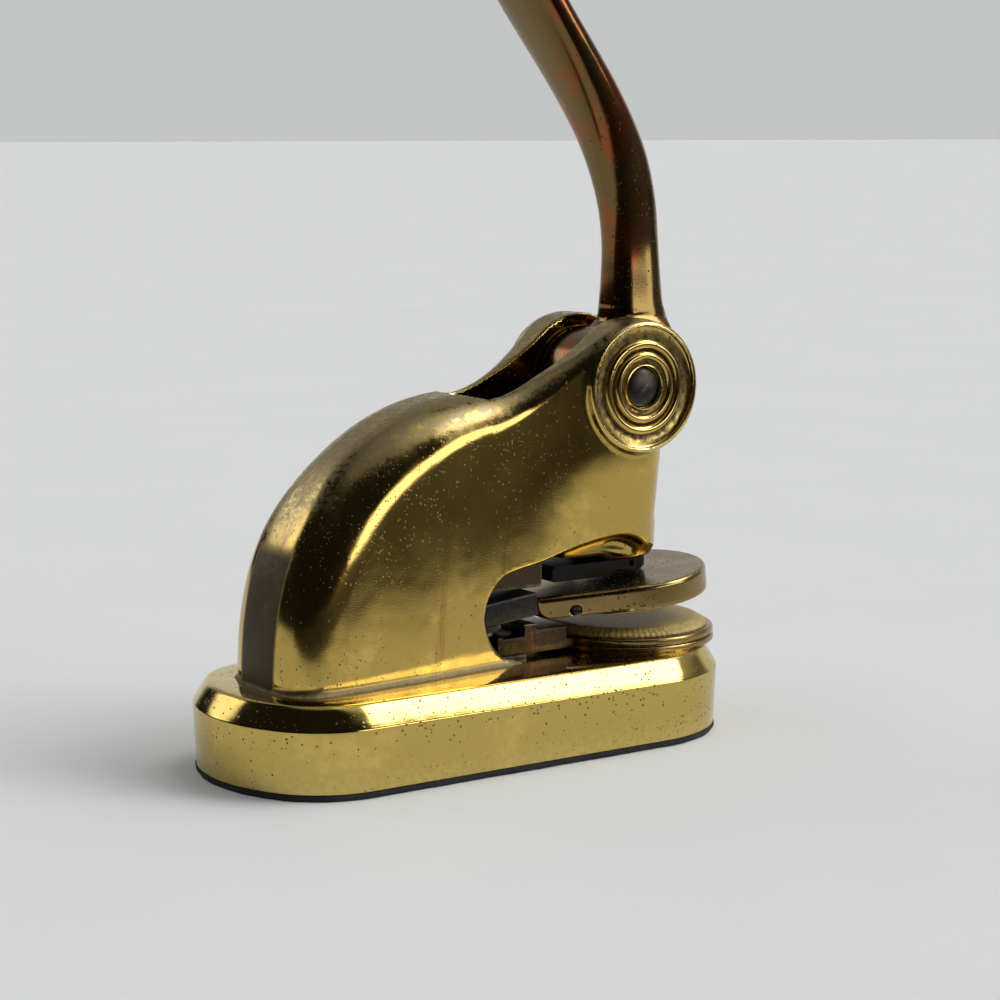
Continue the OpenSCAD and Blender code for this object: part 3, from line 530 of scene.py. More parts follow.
# %% Group for the handled polish
polish, polish_in, polish_out = group("handled_polish", ["Roughness", "Height"], Smooth=0.1, Rough=0.25)
smudge = noise(polish, polish_in["Vector"], 70.0, 4.0, Roughness=0.6)
rub = noise(polish, scaled(polish, polish_in["Vector"], (0.25, 1.0, 1.6)), 2400.0, 2.0)
handled = math_node(polish, "MULTIPLY_ADD", rub, 0.3, smudge)
even = add(polish, "ShaderNodeMapRange", {"Value": handled, "From Min": 0.42, "From Max": 0.9,
                                          "To Min": polish_in["Smooth"], "To Max": polish_in["Rough"]})
wave = noise(polish, polish_in["Vector"], 120.0, 1.0)
polish.links.new(even.outputs["Result"], polish_out["Roughness"])
polish.links.new(math_node(polish, "ADD", wave, times(polish, rub, 0.06)), polish_out["Height"])

# %% [markdown]
# Dust and damp settle on what faces up, so the top of the casting is dull and finely mottled. The mask is
# strong where the surface looks up, and a fine noise breaks it into grains.

# %% Group for the dull top
top_patina, top_in, top_out = group("top_patina", ["Mask"], Share=0.6)
normal = add(top_patina, "ShaderNodeTexCoord").outputs["Normal"]
facing = add(top_patina, "ShaderNodeSeparateXYZ", {0: normal}).outputs[2]
clouds = noise(top_patina, top_in["Vector"], 60.0, 3.0)
looks_up = ramp(top_patina, math_node(top_patina, "MULTIPLY_ADD", clouds, 0.7, facing), 0.6, 1.05)
grains = noise(top_patina, top_in["Vector"], 620.0, 6.0, Roughness=0.75)
grained = times(top_patina, looks_up, ramp(top_patina, grains, 0.36, 0.6, 0.25, 1.0))
top_patina.links.new(times(top_patina, grained, top_in["Share"]), top_out["Mask"])

# %% [markdown]
# Every brass piece is then built by one recipe: the clean metal first, then film, streaks, pits and dirt
# over it, each one a colour blend driven by its mask. On the casting the dirt mask also carries painted
# shade between the walls of the mouth. The same masks raise the roughness and lower the metallic value,
# because dirt and oxide don't shine like metal.

# %% Start and end of a material
def blank_material(name):
    """A material, its tree, its shader and the place on the object."""
    m = bpy.data.materials.new(name)
    m.use_nodes = True
    t = m.node_tree
    return m, t, t.nodes["Principled BSDF"], add(t, "ShaderNodeTexCoord").outputs["Object"]


def finish_shader(t, shader, colour, roughness, height, bump, depth):
    bumped = add(t, "ShaderNodeBump", {"Strength": bump, "Distance": depth, "Height": height})
    for socket, value in (("Base Color", colour), ("Roughness", roughness), ("Normal", bumped.outputs["Normal"])):
        t.links.new(value, shader.inputs[socket])


# %% The recipe for old brass
CLEAN_BRASS = (0.65, 0.46, 0.115)
OLIVE_FILM = (0.26, 0.175, 0.055)
COPPER_RED = (0.30, 0.075, 0.03)
PIT_BROWN = (0.075, 0.045, 0.018)
# tone of the dirt in creases, also used as painted shade inside the mouth of the casting
DIRT_AND_SHADE_TONE = (0.035, 0.025, 0.012)
BRIGHT_EDGE = (0.74, 0.58, 0.24)
PATINA_GREY = (0.33, 0.275, 0.165)
STREAK_SHARE = 0.75
CREASE_H = 2.2
MOUTH_WALL_Y = (0.0072, 0.0088)
JAW_Z = (0.054, 0.058)
FILM_ROUGH = 0.08
DULL_ROUGH = 0.36
SPOILED_ROUGH = 0.4
SPOILED_LOSS = 0.35
PIT_DEPTH = -0.5


def old_brass(name, clean, olive=OLIVE_FILM, smooth=0.04, rough=0.13, cover=0.45, film_share=0.4, pit_scale=900.0,
              pit_share=0.3, streak_cover=0.35, crease_z=None, patina=0.0, worn=0.6):
    m, t, shader, place = blank_material(name)
    film_mask = times(t, effect(t, place, film, Cover=cover)["Mask"], film_share)
    streak_mask = times(t, effect(t, place, streaks, Cover=streak_cover)["Mask"], STREAK_SHARE)
    pit_mask = effect(t, place, pits, Scale=pit_scale, Share=pit_share)["Mask"]
    wear = effect(t, place, edges)
    dirt_and_shade_mask = wear["Dirt"]
    if crease_z is not None:
        sideways, height = add(t, "ShaderNodeSeparateXYZ", {0: place}).outputs[1:]
        low_dirt = ramp(t, height, crease_z * MM, (crease_z + CREASE_H) * MM, 0.9, 0.0)
        # painted shade in the mouth: darker between its walls and below the jaw, where shadow falls
        between_walls = ramp(t, math_node(t, "ABSOLUTE", sideways), *MOUTH_WALL_Y, 0.96, 0.0)
        under_jaw = times(t, between_walls, ramp(t, height, *JAW_Z, 1.0, 0.0))
        for extra_dark in (low_dirt, under_jaw):
            dirt_and_shade_mask = math_node(t, "MAXIMUM", dirt_and_shade_mask, extra_dark)
    bright_mask = times(t, wear["Worn"], worn)
    colour = clean
    for mask, tone in ((film_mask, olive), (streak_mask, COPPER_RED), (pit_mask, PIT_BROWN),
                       (dirt_and_shade_mask, DIRT_AND_SHADE_TONE), (bright_mask, BRIGHT_EDGE)):
        colour = blend_colour(t, mask, colour, tone)
    gloss = effect(t, place, polish, Smooth=smooth, Rough=rough)
    roughness = math_node(t, "MULTIPLY_ADD", film_mask, FILM_ROUGH, gloss["Roughness"])
    if patina:
        dull = effect(t, place, top_patina, Share=patina)["Mask"]
        colour = blend_colour(t, dull, colour, PATINA_GREY)
        roughness = math_node(t, "MULTIPLY_ADD", dull, DULL_ROUGH, roughness)
    spoiled = math_node(t, "MAXIMUM", pit_mask, dirt_and_shade_mask)
    roughness = math_node(t, "MULTIPLY_ADD", spoiled, SPOILED_ROUGH, roughness)
    metal = math_node(t, "SUBTRACT", 1.0, times(t, spoiled, SPOILED_LOSS))
    relief = math_node(t, "ADD", gloss["Height"], times(t, pit_mask, PIT_DEPTH))
    finish_shader(t, shader, colour, roughness, relief, bump=0.12, depth=0.0008)
    t.links.new(metal, shader.inputs["Metallic"])
    return m


# %% The kinds of brass on this machine
casting_brass = old_brass("casting_brass", CLEAN_BRASS, pit_scale=1500.0, pit_share=0.2, crease_z=22.6, patina=0.95)
base_brass = old_brass("base_brass", (0.68, 0.50, 0.13), (0.36, 0.27, 0.08), cover=0.5, pit_scale=1100.0,
                       pit_share=0.4, streak_cover=0.3)
lever_brass = old_brass("lever_brass", (0.36, 0.245, 0.075), (0.11, 0.07, 0.028), cover=0.58, film_share=0.8,
                        pit_scale=1300.0, pit_share=0.15, streak_cover=0.47)
turned_brass = old_brass("turned_brass", (0.62, 0.45, 0.14), rough=0.2, pit_share=0.15, streak_cover=0.25)
holder_brass = old_brass("holder_brass", (0.50, 0.35, 0.12), (0.17, 0.115, 0.045), 0.08, 0.24, cover=0.62,
                         film_share=0.7, pit_scale=1100.0, pit_share=0.5)
# painted shade: a near-black copy of the brass for the tail block in the mouth, which lies in shadow
shade_dark_tail_brass = old_brass("shade_dark_tail_brass", (0.09, 0.055, 0.025), (0.03, 0.022, 0.015), 0.2, 0.4, cover=0.62,
                       film_share=0.85, pit_share=0.1, worn=0.08)
inner_brass = old_brass("inner_brass", (0.56, 0.42, 0.14), smooth=0.2, rough=0.4, cover=0.6)

# %% [markdown]
# The steel of the pin, the tail and the foot is dark with age and oil. It needs the same polish and edge
# effects, a colour that drifts between blue and brown, and no pits.

# %% The recipe for dark steel
def dark_metal(name, cool, warm, smooth, rough):
    m, t, shader, place = blank_material(name)
    wear = effect(t, place, edges)
    gloss = effect(t, place, polish, Smooth=smooth, Rough=rough)
    colour = blend_colour(t, effect(t, place, film, Scale=140.0, Cover=0.5)["Mask"], cool, warm)
    colour = blend_colour(t, wear["Dirt"], colour, (0.01, 0.009, 0.008))
    bright = tuple(min(1.0, 2.4 * c) for c in cool)
    colour = blend_colour(t, times(t, wear["Worn"], 0.7), colour, bright)
    finish_shader(t, shader, colour, gloss["Roughness"], gloss["Height"], bump=0.2, depth=0.0005)
    shader.inputs["Metallic"].default_value = 1.0
    return m


pin_steel = dark_metal("pin_steel", (0.10, 0.095, 0.095), (0.055, 0.045, 0.04), 0.3, 0.55)
blued_steel = dark_metal("blued_steel", (0.03, 0.031, 0.035), (0.026, 0.022, 0.018), 0.3, 0.5)
black_oxide = dark_metal("black_oxide", (0.008, 0.008, 0.008), (0.014, 0.01, 0.007), 0.35, 0.55)
zinc = dark_metal("dull_zinc", (0.42, 0.42, 0.43), (0.27, 0.26, 0.24), 0.35, 0.6)

# %% [markdown]
# The felt is pressed wool. Its fibres are far too fine to model, so a fine noise gives the nap in both
# colour and bump, and the rim of the piece itself is uneven. The pressed board of the counter is the same
# kind of matter with a coarser grain.

# %% Felt and counter board
def soft_matter(name, dark, light, grain, roughness, bump):
    m, t, shader, place = blank_material(name)
    nap = noise(t, place, grain, 6.0, Roughness=0.7)
    stain = noise(t, place, grain / 22, 4.0)
    colour = blend_colour(t, ramp(t, times(t, nap, stain), 0.12, 0.42), dark, light)
    rough_here = ramp(t, stain, 0.3, 0.7, roughness - 0.12, roughness)
    finish_shader(t, shader, colour, rough_here, nap, bump, depth=0.0006)
    return m


black_felt = soft_matter("black_felt", (0.006, 0.006, 0.007), (0.03, 0.03, 0.032), 2200.0, 0.98, 0.6)
counter_board = soft_matter("counter_board", (0.22, 0.15, 0.04), (0.50, 0.37, 0.12), 700.0, 0.5, 0.2)
print(len(bpy.data.materials), "materials,", len(bpy.data.node_groups), "shared effects")

# %% [markdown]
# ## The base
# The base is a long, low casting with a half round front and a fuller, three-arc rear. Its outline is worked
# out once as a function that can be moved inward, and the side wall, the rounded line, the curved bevel
# and the ledge are then rings of that outline at their own heights.

# %% Outline of the base
CORNER_R = 24.0
CORNER_X = -46.0
CORNER_Y = BASE_HALF_W - CORNER_R
FRONT_CX = BASE_FRONT - BASE_HALF_W
corner_run = CORNER_X - BASE_REAR
REAR_R = (corner_run ** 2 + CORNER_Y ** 2 - CORNER_R ** 2) / (2 * (corner_run - CORNER_R))
REAR_CX = BASE_REAR + REAR_R
CORNER_A = math.pi - math.atan2(CORNER_Y, REAR_CX - CORNER_X)


def arc(cx, cy, r, a0, a1, count):
    a = np.linspace(a0, a1, count, endpoint=False)
    return np.column_stack([cx + r * np.cos(a), cy + r * np.sin(a)])


def straight(x0, x1, y, count):
    return np.column_stack([np.linspace(x0, x1, count, endpoint=False), np.full(count, y)])


def base_line(inset):
    """Points round the base, moved inward by inset, from the right side forward and round."""
    half = BASE_HALF_W - inset
    corner = CORNER_R - inset
    return np.concatenate([
        arc(FRONT_CX, 0, half, -TURN / 4, TURN / 4, 90),
        straight(FRONT_CX, CORNER_X, half, 40),
        arc(CORNER_X, CORNER_Y, corner, TURN / 4, CORNER_A, 30),
        arc(REAR_CX, 0, REAR_R - inset, CORNER_A, TURN - CORNER_A, 30),
        arc(CORNER_X, -CORNER_Y, corner, TURN - CORNER_A, 0.75 * TURN, 30),
        straight(CORNER_X, FRONT_CX, -half, 40)])


def flat_rings(line, profile):
    """Rings of the outline for (height, inset) pairs."""
    out = []
    for height, inset in profile:
        ring = line(inset)
        out.append(np.column_stack([ring, np.full(len(ring), height)]))
    return out


# %% Side wall, bevel and ledge
wall_line = [(FELT_TOP + 1.5, 2.6), (FELT_TOP, 2.6), (FELT_TOP, 0.95), (FELT_TOP + 0.25, 0.69), (9, 0.35),
             (BEVEL_Z - 0.35, 0.02), (BEVEL_Z - 0.05, 0.06)]
bevel_line = smooth_line([(BEVEL_Z + 0.15, 0.16), (17.5, 0.36), (18.0, 0.64), (19.2, 1.38), (20.6, 2.26),
                          (21.5, 2.88), (22.0, 3.3), (22.35, 3.75), (LEDGE_Z, 4.4)], 2)
ledge_line = [(LEDGE_Z, 9.0), (LEDGE_Z, 16.0)]
base_rings = flat_rings(base_line, wall_line + bevel_line.tolist() + ledge_line)
piece("base_shell", skin(base_rings), "frame", base_brass, sharp=28)

# %% [markdown]
# The felt under the base stands out a little and its cut edge is soft. Each ring of the rim is moved in
# and out by a few hundredths with sines of unrelated length, which looks cut by hand.

# %% Felt pad
def felt_line(inset):
    ring = base_line(inset)
    a = np.linspace(0, TURN, len(ring), endpoint=False)
    wander = 0.10 * np.sin(23 * a) + 0.08 * np.sin(57 * a + 1) + 0.05 * np.sin(131 * a + 2)
    out = ring / np.linalg.norm(ring, axis=1)[:, None]
    return ring + out * (wander - 0.12)[:, None]


felt_rim = [(0.0, 1.1), (0.12, 0.62), (0.45, 0.45), (1.0, 0.42), (1.35, 0.52), (FELT_TOP, 0.8)]
piece("felt_foot", skin(flat_rings(felt_line, felt_rim)), "frame", black_felt, ["felt_pad"], sharp=60)

# %% [markdown]
# ## The arched body
# Seen from above the body is full at the rear and narrow at the front; from the side it is an arch, then a
# hollow sweep up to the pivot. Both views are fields, met with a shoulder radius that shrinks towards the
# front. Bosses are joined on, and the mouth, the slot, the hub room and the bores are cut out.

# %% Side and plan of the body
HUMP_X = 62.0
HUMP_H = 68.7
HUMP_HALF_W = 17.8
REAR_FULLNESS = 3.2
ARCH_FULLNESS = 2.05
NOSE_X = 45.0
NOSE_FRONT = 57.0
NOSE_HALF_W = 12.4
EAR_HALF_W = 18.2
REAR_ROUND_X = HUMP_HALF_W - HUMP_X
CREST_Z = LEDGE_Z + HUMP_H
ARCH_R = 65.0
SWEEP_LEAN = 0.9
EAR_START_Z = 40.0
EAR_BLEND = 42.0
ear_rise = curve_through([(-1, 0), (0, 0), (5, 0.3), (11, 1.7), (17, 4.2), (23, 7.4), (29, 11.3), (34, 14.8),
                          (38, 16.3), (43, 17), (44, 17)])
foot_share = curve_through([(-50, 0), (REAR_ROUND_X, 0), (-30, 0.19), (-18, 0.36), (-8, 0.6), (5, 0.82),
                            (20, 0.95), (NOSE_X, 1), (50, 1)])
ear_share = curve_through([(-22, 0), (-20, 0), (0, 0.06), (10, 0.19), (20, 0.53), (28, 0.87), (34, 1),
                           (NOSE_X, 1)])
shoulder = curve_through([(-62, 6), (-55, 10), (-45, 14), (-25, 13.5), (-8, 11), (0, 9.5), (10, 7), (20, 4.6),
                          (30, 3), (62, 2.4)])


def side_half_w(x, z):
    low = HUMP_HALF_W - (HUMP_HALF_W - NOSE_HALF_W) * foot_share(x)
    high = low + (EAR_HALF_W - low) * ear_share(x)
    t = np.clip((z - EAR_START_Z) / EAR_BLEND, 0, 1)
    return low + (high - low) * t * t * (3 - 2 * t)


# %% Mouth and ram places
mouth_top = [(9, 22.4), (4.2, 24.3), (1, 27.2), (-1, 30.6), (-2, 34.4), (-1.4, 38.6), (0.8, 42.4), (4.2, 45.2),
             (9.5, 46.6), (15.5, 47.6), (21.5, 49.2), (28, 50.8), (34.5, 52), (41, 52.4), (46, 51), (50, 48.8),
             (54, 47.7)]
mouth_line = np.concatenate([smooth_line(mouth_top), [[84, 47.6], [84, 18], [12, 18]]])
GUIDE_Z = (45.6, 54.6)
GUIDE_TOP = 55.6
GUIDE_R = 7.06
HEAD_ROOM_R = 7.46
WEB_X = (26.0, 47.4)
WEB_Z = (46.4, 54.4)
WEB_HALF_W = 8.2
POCKET_X = (-20.0, 10.0)
POCKET_TOP = 40.0
POCKET_HALF_W = 10.0
RIB_X = (-3.0, 20.5)
RIB_Z = (POCKET_TOP, POCKET_TOP + 12)
RIB_HALF_W = 6.0
SHELF_DROP = 0.45
BODY_LOW = 21.4


# %% The body as a field
def outer_body(x, y, z):
    wall = side_half_w(x, z)
    reach = np.maximum(REAR_ROUND_X - x, 0) / HUMP_HALF_W
    rear = oval(reach, y / HUMP_HALF_W, REAR_FULLNESS) * HUMP_HALF_W
    nose = NOSE_FRONT - NOSE_X
    front = oval(np.maximum(x - NOSE_X, 0) / nose, y / wall, 2) * nose
    plan = np.where(x < REAR_ROUND_X, rear, np.where(x > NOSE_X, front, y - wall))
    arch = oval(np.abs(x) / HUMP_X, np.maximum(z - LEDGE_Z, 0) / HUMP_H, ARCH_FULLNESS) * ARCH_R
    sweep = (z - CREST_Z - ear_rise(x)) * SWEEP_LEAN
    crown = np.where(z > PIVOT_Z, from_pivot(x, z), x - PIVOT_X) - BOSS_R
    top = np.where(x < 0, arch, np.where(x < PIVOT_X, sweep, crown))
    body = meet(plan, top, shoulder(x))
    boss = meet(from_pivot(x, z) - BOSS_R, y - BOSS_HALF_W, 1.2)
    return join(body, np.maximum(boss, SLOT_HALF_W - 1 - y), 1.4)


def body_field(x, y, z):
    y = np.abs(y)
    body = cut(outer_body(x, y, z), inside_line(x, z, mouth_line), 1.0)
    guide = meet(np.hypot(x - RAM_X, y) - (NOSE_FRONT - RAM_X - 0.05), between(z, *GUIDE_Z), 0.5)
    web = meet(np.maximum(between(x, *WEB_X), y - WEB_HALF_W), between(z, *WEB_Z), 2.0)
    body = join(body, join(guide, web, 3), 3.5)
    rib = meet(np.maximum(between(x, *RIB_X), y - RIB_HALF_W), between(z, *RIB_Z), 0.5)
    body = join(body, rib, 1.2)
    stadium = np.hypot(np.minimum(x - (SLOT_HALF_W - SLOT_REAR), 0), y) - SLOT_HALF_W
    body = cut(body, meet(stadium, SLOT_FLOOR - z, 2), 0.9)
    pivot = from_pivot(x, z)
    body = cut(body, np.maximum(pivot - HUB_ROOM_R, y - SLOT_HALF_W), 0.4)
    body = cut(body, np.maximum(pivot - CAP_R, CAP_SEAT - y), 0.4)
    body = np.maximum(body, BUSH_R - pivot)
    body = np.maximum(body, np.where(z < GUIDE_TOP, GUIDE_R, HEAD_ROOM_R) - np.hypot(x - RAM_X, y))
    pocket = np.maximum(np.maximum(between(x, *POCKET_X), y - POCKET_HALF_W), z - POCKET_TOP)
    body = np.maximum(body, -pocket)
    # a shelf just under the ledge, near the body only, so that the join makes the fillet at the foot
    shelf = np.maximum(z - LEDGE_Z + SHELF_DROP, body - 4)
    return np.maximum(join(body, shelf, 2.0), BODY_LOW - z)


casting = surface_net(body_field, (-68, -24, 20.6), (64, 24, 110), CELL)
piece("arched_body", casting[:2], "frame", casting_brass, ["frame_casting"], casting[2])

# %% [markdown]
# ## The lever
# The lever is one casting: a hub between the ears, a cam under it, a heel that stops it, and an arm that
# bends back and widens into a paddle for the palm. The arm follows a line of stations, each with its own
# depth and width, and a field lets it flow out of the hub with a fillet.

# %% Stations of the arm, measured from the pivot
ARM_LINE = [(7.4, 4.8), (9.8, 11.8), (9.9, 16.3), (9.7, 19.8), (9.6, 26.8), (9.3, 35.8), (8.2, 45.8), (5.4, 55.8),
            (1.2, 64.8), (-4.4, 73.8), (-10.9, 82.8), (-17.8, 91.8), (-24.4, 100.8), (-29.2, 107.8), (-32.4, 112.8)]
ARM_DEPTH = [20.1, 21, 18.9, 17.5, 16.3, 15.5, 15.3, 15, 13.8, 12.5, 11.2, 10.2, 9.6, 9.4, 9.2]
ARM_WIDTH = [16.3, 16.3, 14.4, 12.9, 11.8, 11.0, 12.1, 13.8, 16.0, 18.6, 20.8, 22.6, 23.6, 23.4, 22.4]
ARM_FULLNESS = 2.5
arm_line = smooth_line(np.array(ARM_LINE) + (PIVOT_X, PIVOT_Z), 6)
arm_place = np.linspace(0, len(ARM_LINE) - 1, len(arm_line))
arm_depth = curve_through(list(enumerate(ARM_DEPTH)))
arm_width = curve_through(list(enumerate(ARM_WIDTH)))


# %% Cam line: its depth grows evenly as the lever comes forward
CAM_REST = 15.0
CAM_OFFSET = RAM_X - PIVOT_X


def cam_point(angle):
    depth = CAM_REST + CAM_OFFSET * angle
    return (PIVOT_X + CAM_OFFSET * math.cos(angle) + depth * math.sin(angle),
            PIVOT_Z + CAM_OFFSET * math.sin(angle) - depth * math.cos(angle))


cam_line = [cam_point(math.radians(a)) for a in np.linspace(-20, 84, 28)]
cam_line += [(PIVOT_X + dx, PIVOT_Z + dz) for dx, dz in ((20.8, 9), (16.5, 14.5), (4, 16), (-6, 8))]


# %% The arm as a field
def arm_field(x, y, z):
    x, z = np.broadcast_arrays(x, z)
    best = np.full(x.shape, FAR)
    side = np.zeros(x.shape)
    place = np.zeros(x.shape)
    for i, (start, end) in enumerate(zip(arm_line[:-1], arm_line[1:])):
        t, dx, dz = beside_segment(x, z, start, end)
        ex, ez = end - start
        nearer = dx * dx + dz * dz < best
        best = np.where(nearer, dx * dx + dz * dz, best)
        side = np.where(nearer, (dx * ez - dz * ex) / math.hypot(ex, ez), side)
        place = np.where(nearer, arm_place[i] + t * (arm_place[1] - arm_place[0]), place)
    depth = arm_depth(place) / 2
    width = arm_width(place) / 2
    bar = oval(np.abs(side / depth), np.abs(y / width), ARM_FULLNESS)
    (x0, z0), (x1, z1) = arm_line[-2], arm_line[-1]
    past_end = ((x - x1) * (x1 - x0) + (z - z1) * (z1 - z0)) / math.hypot(x1 - x0, z1 - z0)
    return meet(bar * np.minimum(depth, width), past_end, 5.0)


# %% The whole lever
HUB_R = 14.2
HUB_HALF_W = 8.4
CAM_HALF_W = 7.4
HEEL_X = (25.0, 41.0)
HEEL_Z = (SLOT_FLOOR, SLOT_FLOOR + 7)


def lever_field(x, y, z):
    pivot = from_pivot(x, z)
    hub = meet(pivot - HUB_R, np.abs(y) - HUB_HALF_W, 0.7)
    cam_body = meet(inside_line(x, z, np.array(cam_line)), np.abs(y) - CAM_HALF_W, 1.2)
    heel = meet(np.maximum(between(x, *HEEL_X), between(z, *HEEL_Z)), np.abs(y) - CAM_HALF_W, 0.7)
    whole = join(join(hub, cam_body, 1.0), heel, 1.5)
    return np.maximum(join(whole, arm_field(x, y, z), 2.5), BUSH_R - pivot)


lever_net = surface_net(lever_field, (4, -14, 74), (68, 14, 208), CELL)
piece("cast_lever", lever_net[:2], "lever", lever_brass, ["lever"], lever_net[2])

# %% [markdown]
# ## Turned caps and the pin
# Each ear carries a turned cap with two raised rings, and the domed end of the pin stands in its middle.
# The rings are half round, as a form tool cuts them, with a narrow groove between that holds the dirt.

# %% Ringed caps
def half_round(inner, outer, foot, height, count=9):
    """Corners of a raised ring from one radius to another."""
    middle, half = (inner + outer) / 2, (outer - inner) / 2
    return [(middle - half * math.cos(a), foot + height * math.sin(a)) for a in np.linspace(0, math.pi, count)]


cap_hole_r = PIN_R + 0.05
cap_section = [(cap_hole_r, 0), (cap_hole_r, 1.25), (5.6, 1.5), (5.8, 1.45), (6.0, 0.85), (6.2, 0.6), (6.9, 0.6)]
cap_section += half_round(7.1, 9.3, 0.75, 1.3)
cap_section += [(9.45, 0.45), (9.75, 0.45)]
cap_section += half_round(9.9, 12.3, 0.75, 1.1)
cap_section += [(12.45, 0.45), (15.2, 0.5), (CAP_R, 0.8), (CAP_R, 0)]
for side, label in ((-1, "right"), (1, "left")):
    mirrored = [(r, side * (CAP_SEAT + h)) for r, h in cap_section]
    rings, faces = turned(mirrored, PIVOT_X, PIVOT_Z)
    wide = len(rings) // len(mirrored)
    last = (len(mirrored) - 1) * wide
    faces = faces[:-2] + [[last + j, last + (j + 1) % wide, (j + 1) % wide, j] for j in range(wide)]
    piece("ringed_cap_" + label, (rings, faces), "frame", turned_brass, ["boss_cap_" + label],
          sharp=50)

# %% Pin with domed ends
DOME_H = 1.9
DOME_EDGE = 0.6
dome = [(PIN_R * math.sin(a), PIN_END - DOME_H * (1 - math.cos(a)) - DOME_EDGE * (4 * a / TURN) ** 6)
        for a in np.linspace(0, TURN / 4, 12)]
pin_section = dome + [(r, -h) for r, h in dome[::-1]]
piece("pivot_rod", turned(pin_section, PIVOT_X, PIVOT_Z, 64), "frame", pin_steel, ["pivot_pin"],
      sharp=60)

# %% [markdown]
# ## The dies
# The upper holder is a disc that hangs over the lower one. At rest the spring strap holds it a few
# degrees open, so it is drawn level, as it closes, and then turned about the line where the strap bends.

# %% Heights of the dies and the lift of the upper one
FLEX_X = 6.0
LEVER_SWING = math.radians(60)
HOLDER_Z = COUNTER_TOP + 1.1
HOLDER_T = 6.5
HOLDER_R = 22.2
DIE_R = 19.52
DIE_POCKET = 2.4
TAIL_Z = HOLDER_Z + 2.4
TAIL_T = 6.0
TAIL_HALF_W = 8.5
LIFT = math.atan(CAM_OFFSET * LEVER_SWING / (RAM_X - FLEX_X))
LIFT_COS, LIFT_SIN = math.cos(LIFT), math.sin(LIFT)
LIFT_TURN = np.array([[LIFT_COS, 0, -LIFT_SIN], [0, 1, 0], [LIFT_SIN, 0, LIFT_COS]])
FLEX_POINT = (FLEX_X, 0, TAIL_Z)
print("upper die lifts by", round(math.degrees(LIFT), 2), "degrees")


def lifted(shape):
    points, faces = shape
    return (points - FLEX_POINT) @ LIFT_TURN.T + FLEX_POINT, faces


# %% [markdown]
# The upper holder is not a full round: behind the disc its two sides run on as tangents to a narrow seam,
# where the steel block begins. Its lower rear corner is rounded, and a small set screw sits in the side.

# %% Upper holder as a field
SEAM_X = 18.0
TAPER_LOW = HOLDER_Z + 0.7
holder_top = HOLDER_Z + HOLDER_T
seam_run = DIE_X - SEAM_X
TAPER_A = math.asin(HOLDER_R / math.hypot(seam_run, TAIL_HALF_W)) - math.atan2(TAIL_HALF_W, seam_run)
SCREW_A = math.radians(207)
SCREW_Z = HOLDER_Z + 2.3
SCREW_HOLE_R = 1.3
SCREW_DEPTH_R = 22.0


def holder_field(x, y, z):
    screw_along = (x - DIE_X) * math.cos(SCREW_A) + y * math.sin(SCREW_A)
    screw_off = np.hypot((x - DIE_X) * math.sin(SCREW_A) - y * math.cos(SCREW_A), z - SCREW_Z)
    y = np.abs(y)
    radius = np.hypot(x - DIE_X, y)
    disc = meet(radius - HOLDER_R, HOLDER_Z - z, 0.5)
    off_line = (y * math.cos(TAPER_A) - (x - DIE_X) * math.sin(TAPER_A)) - HOLDER_R
    behind = (x - DIE_X) * math.cos(TAPER_A) + y * math.sin(TAPER_A)
    taper = meet(np.where(behind < 0, off_line, radius - HOLDER_R), meet(SEAM_X - x, TAPER_LOW - z, 3.0), 0.5)
    body = meet(join(disc, taper, 0.3), z - holder_top, 1.2)
    pocket = np.maximum(radius - DIE_R, z - HOLDER_Z - DIE_POCKET)
    hole = np.maximum(screw_off - SCREW_HOLE_R, SCREW_DEPTH_R - screw_along)
    return cut(np.maximum(body, -pocket), hole, 0.3)


# %% Upper holder
holder_net = surface_net(holder_field, (16.5, -23.5, HOLDER_Z - 1), (74.5, 23.5, holder_top + 1), FINE_CELL)
piece("upper_disc", lifted(holder_net[:2]), "upper_insert", holder_brass, ["upper_holder"],
      holder_net[2] @ LIFT_TURN.T)

# %% Steel block behind it
TAIL_REAR = FLEX_X - 9
tail_line = soft_corners([(TAIL_REAR, TAIL_Z), (TAIL_REAR, TAIL_Z + TAIL_T, 0.7), (SEAM_X, TAIL_Z + TAIL_T, 0.7),
                          (SEAM_X, TAIL_Z)], closed=True)
tail_shape = lifted(bar_across(tail_line, TAIL_HALF_W, 0.6))
piece("upper_tail_block", tail_shape, "upper_insert", blued_steel, ["upper_tail"])

# %% [markdown]
# The lower holder is screwed to the ledge. Its rim shows two bands with a dark groove between. Its tail
# block, with the paper stop on it, runs back over the lower leg of the strap. The counter is a pressed
# board with fine ribs round its edge.

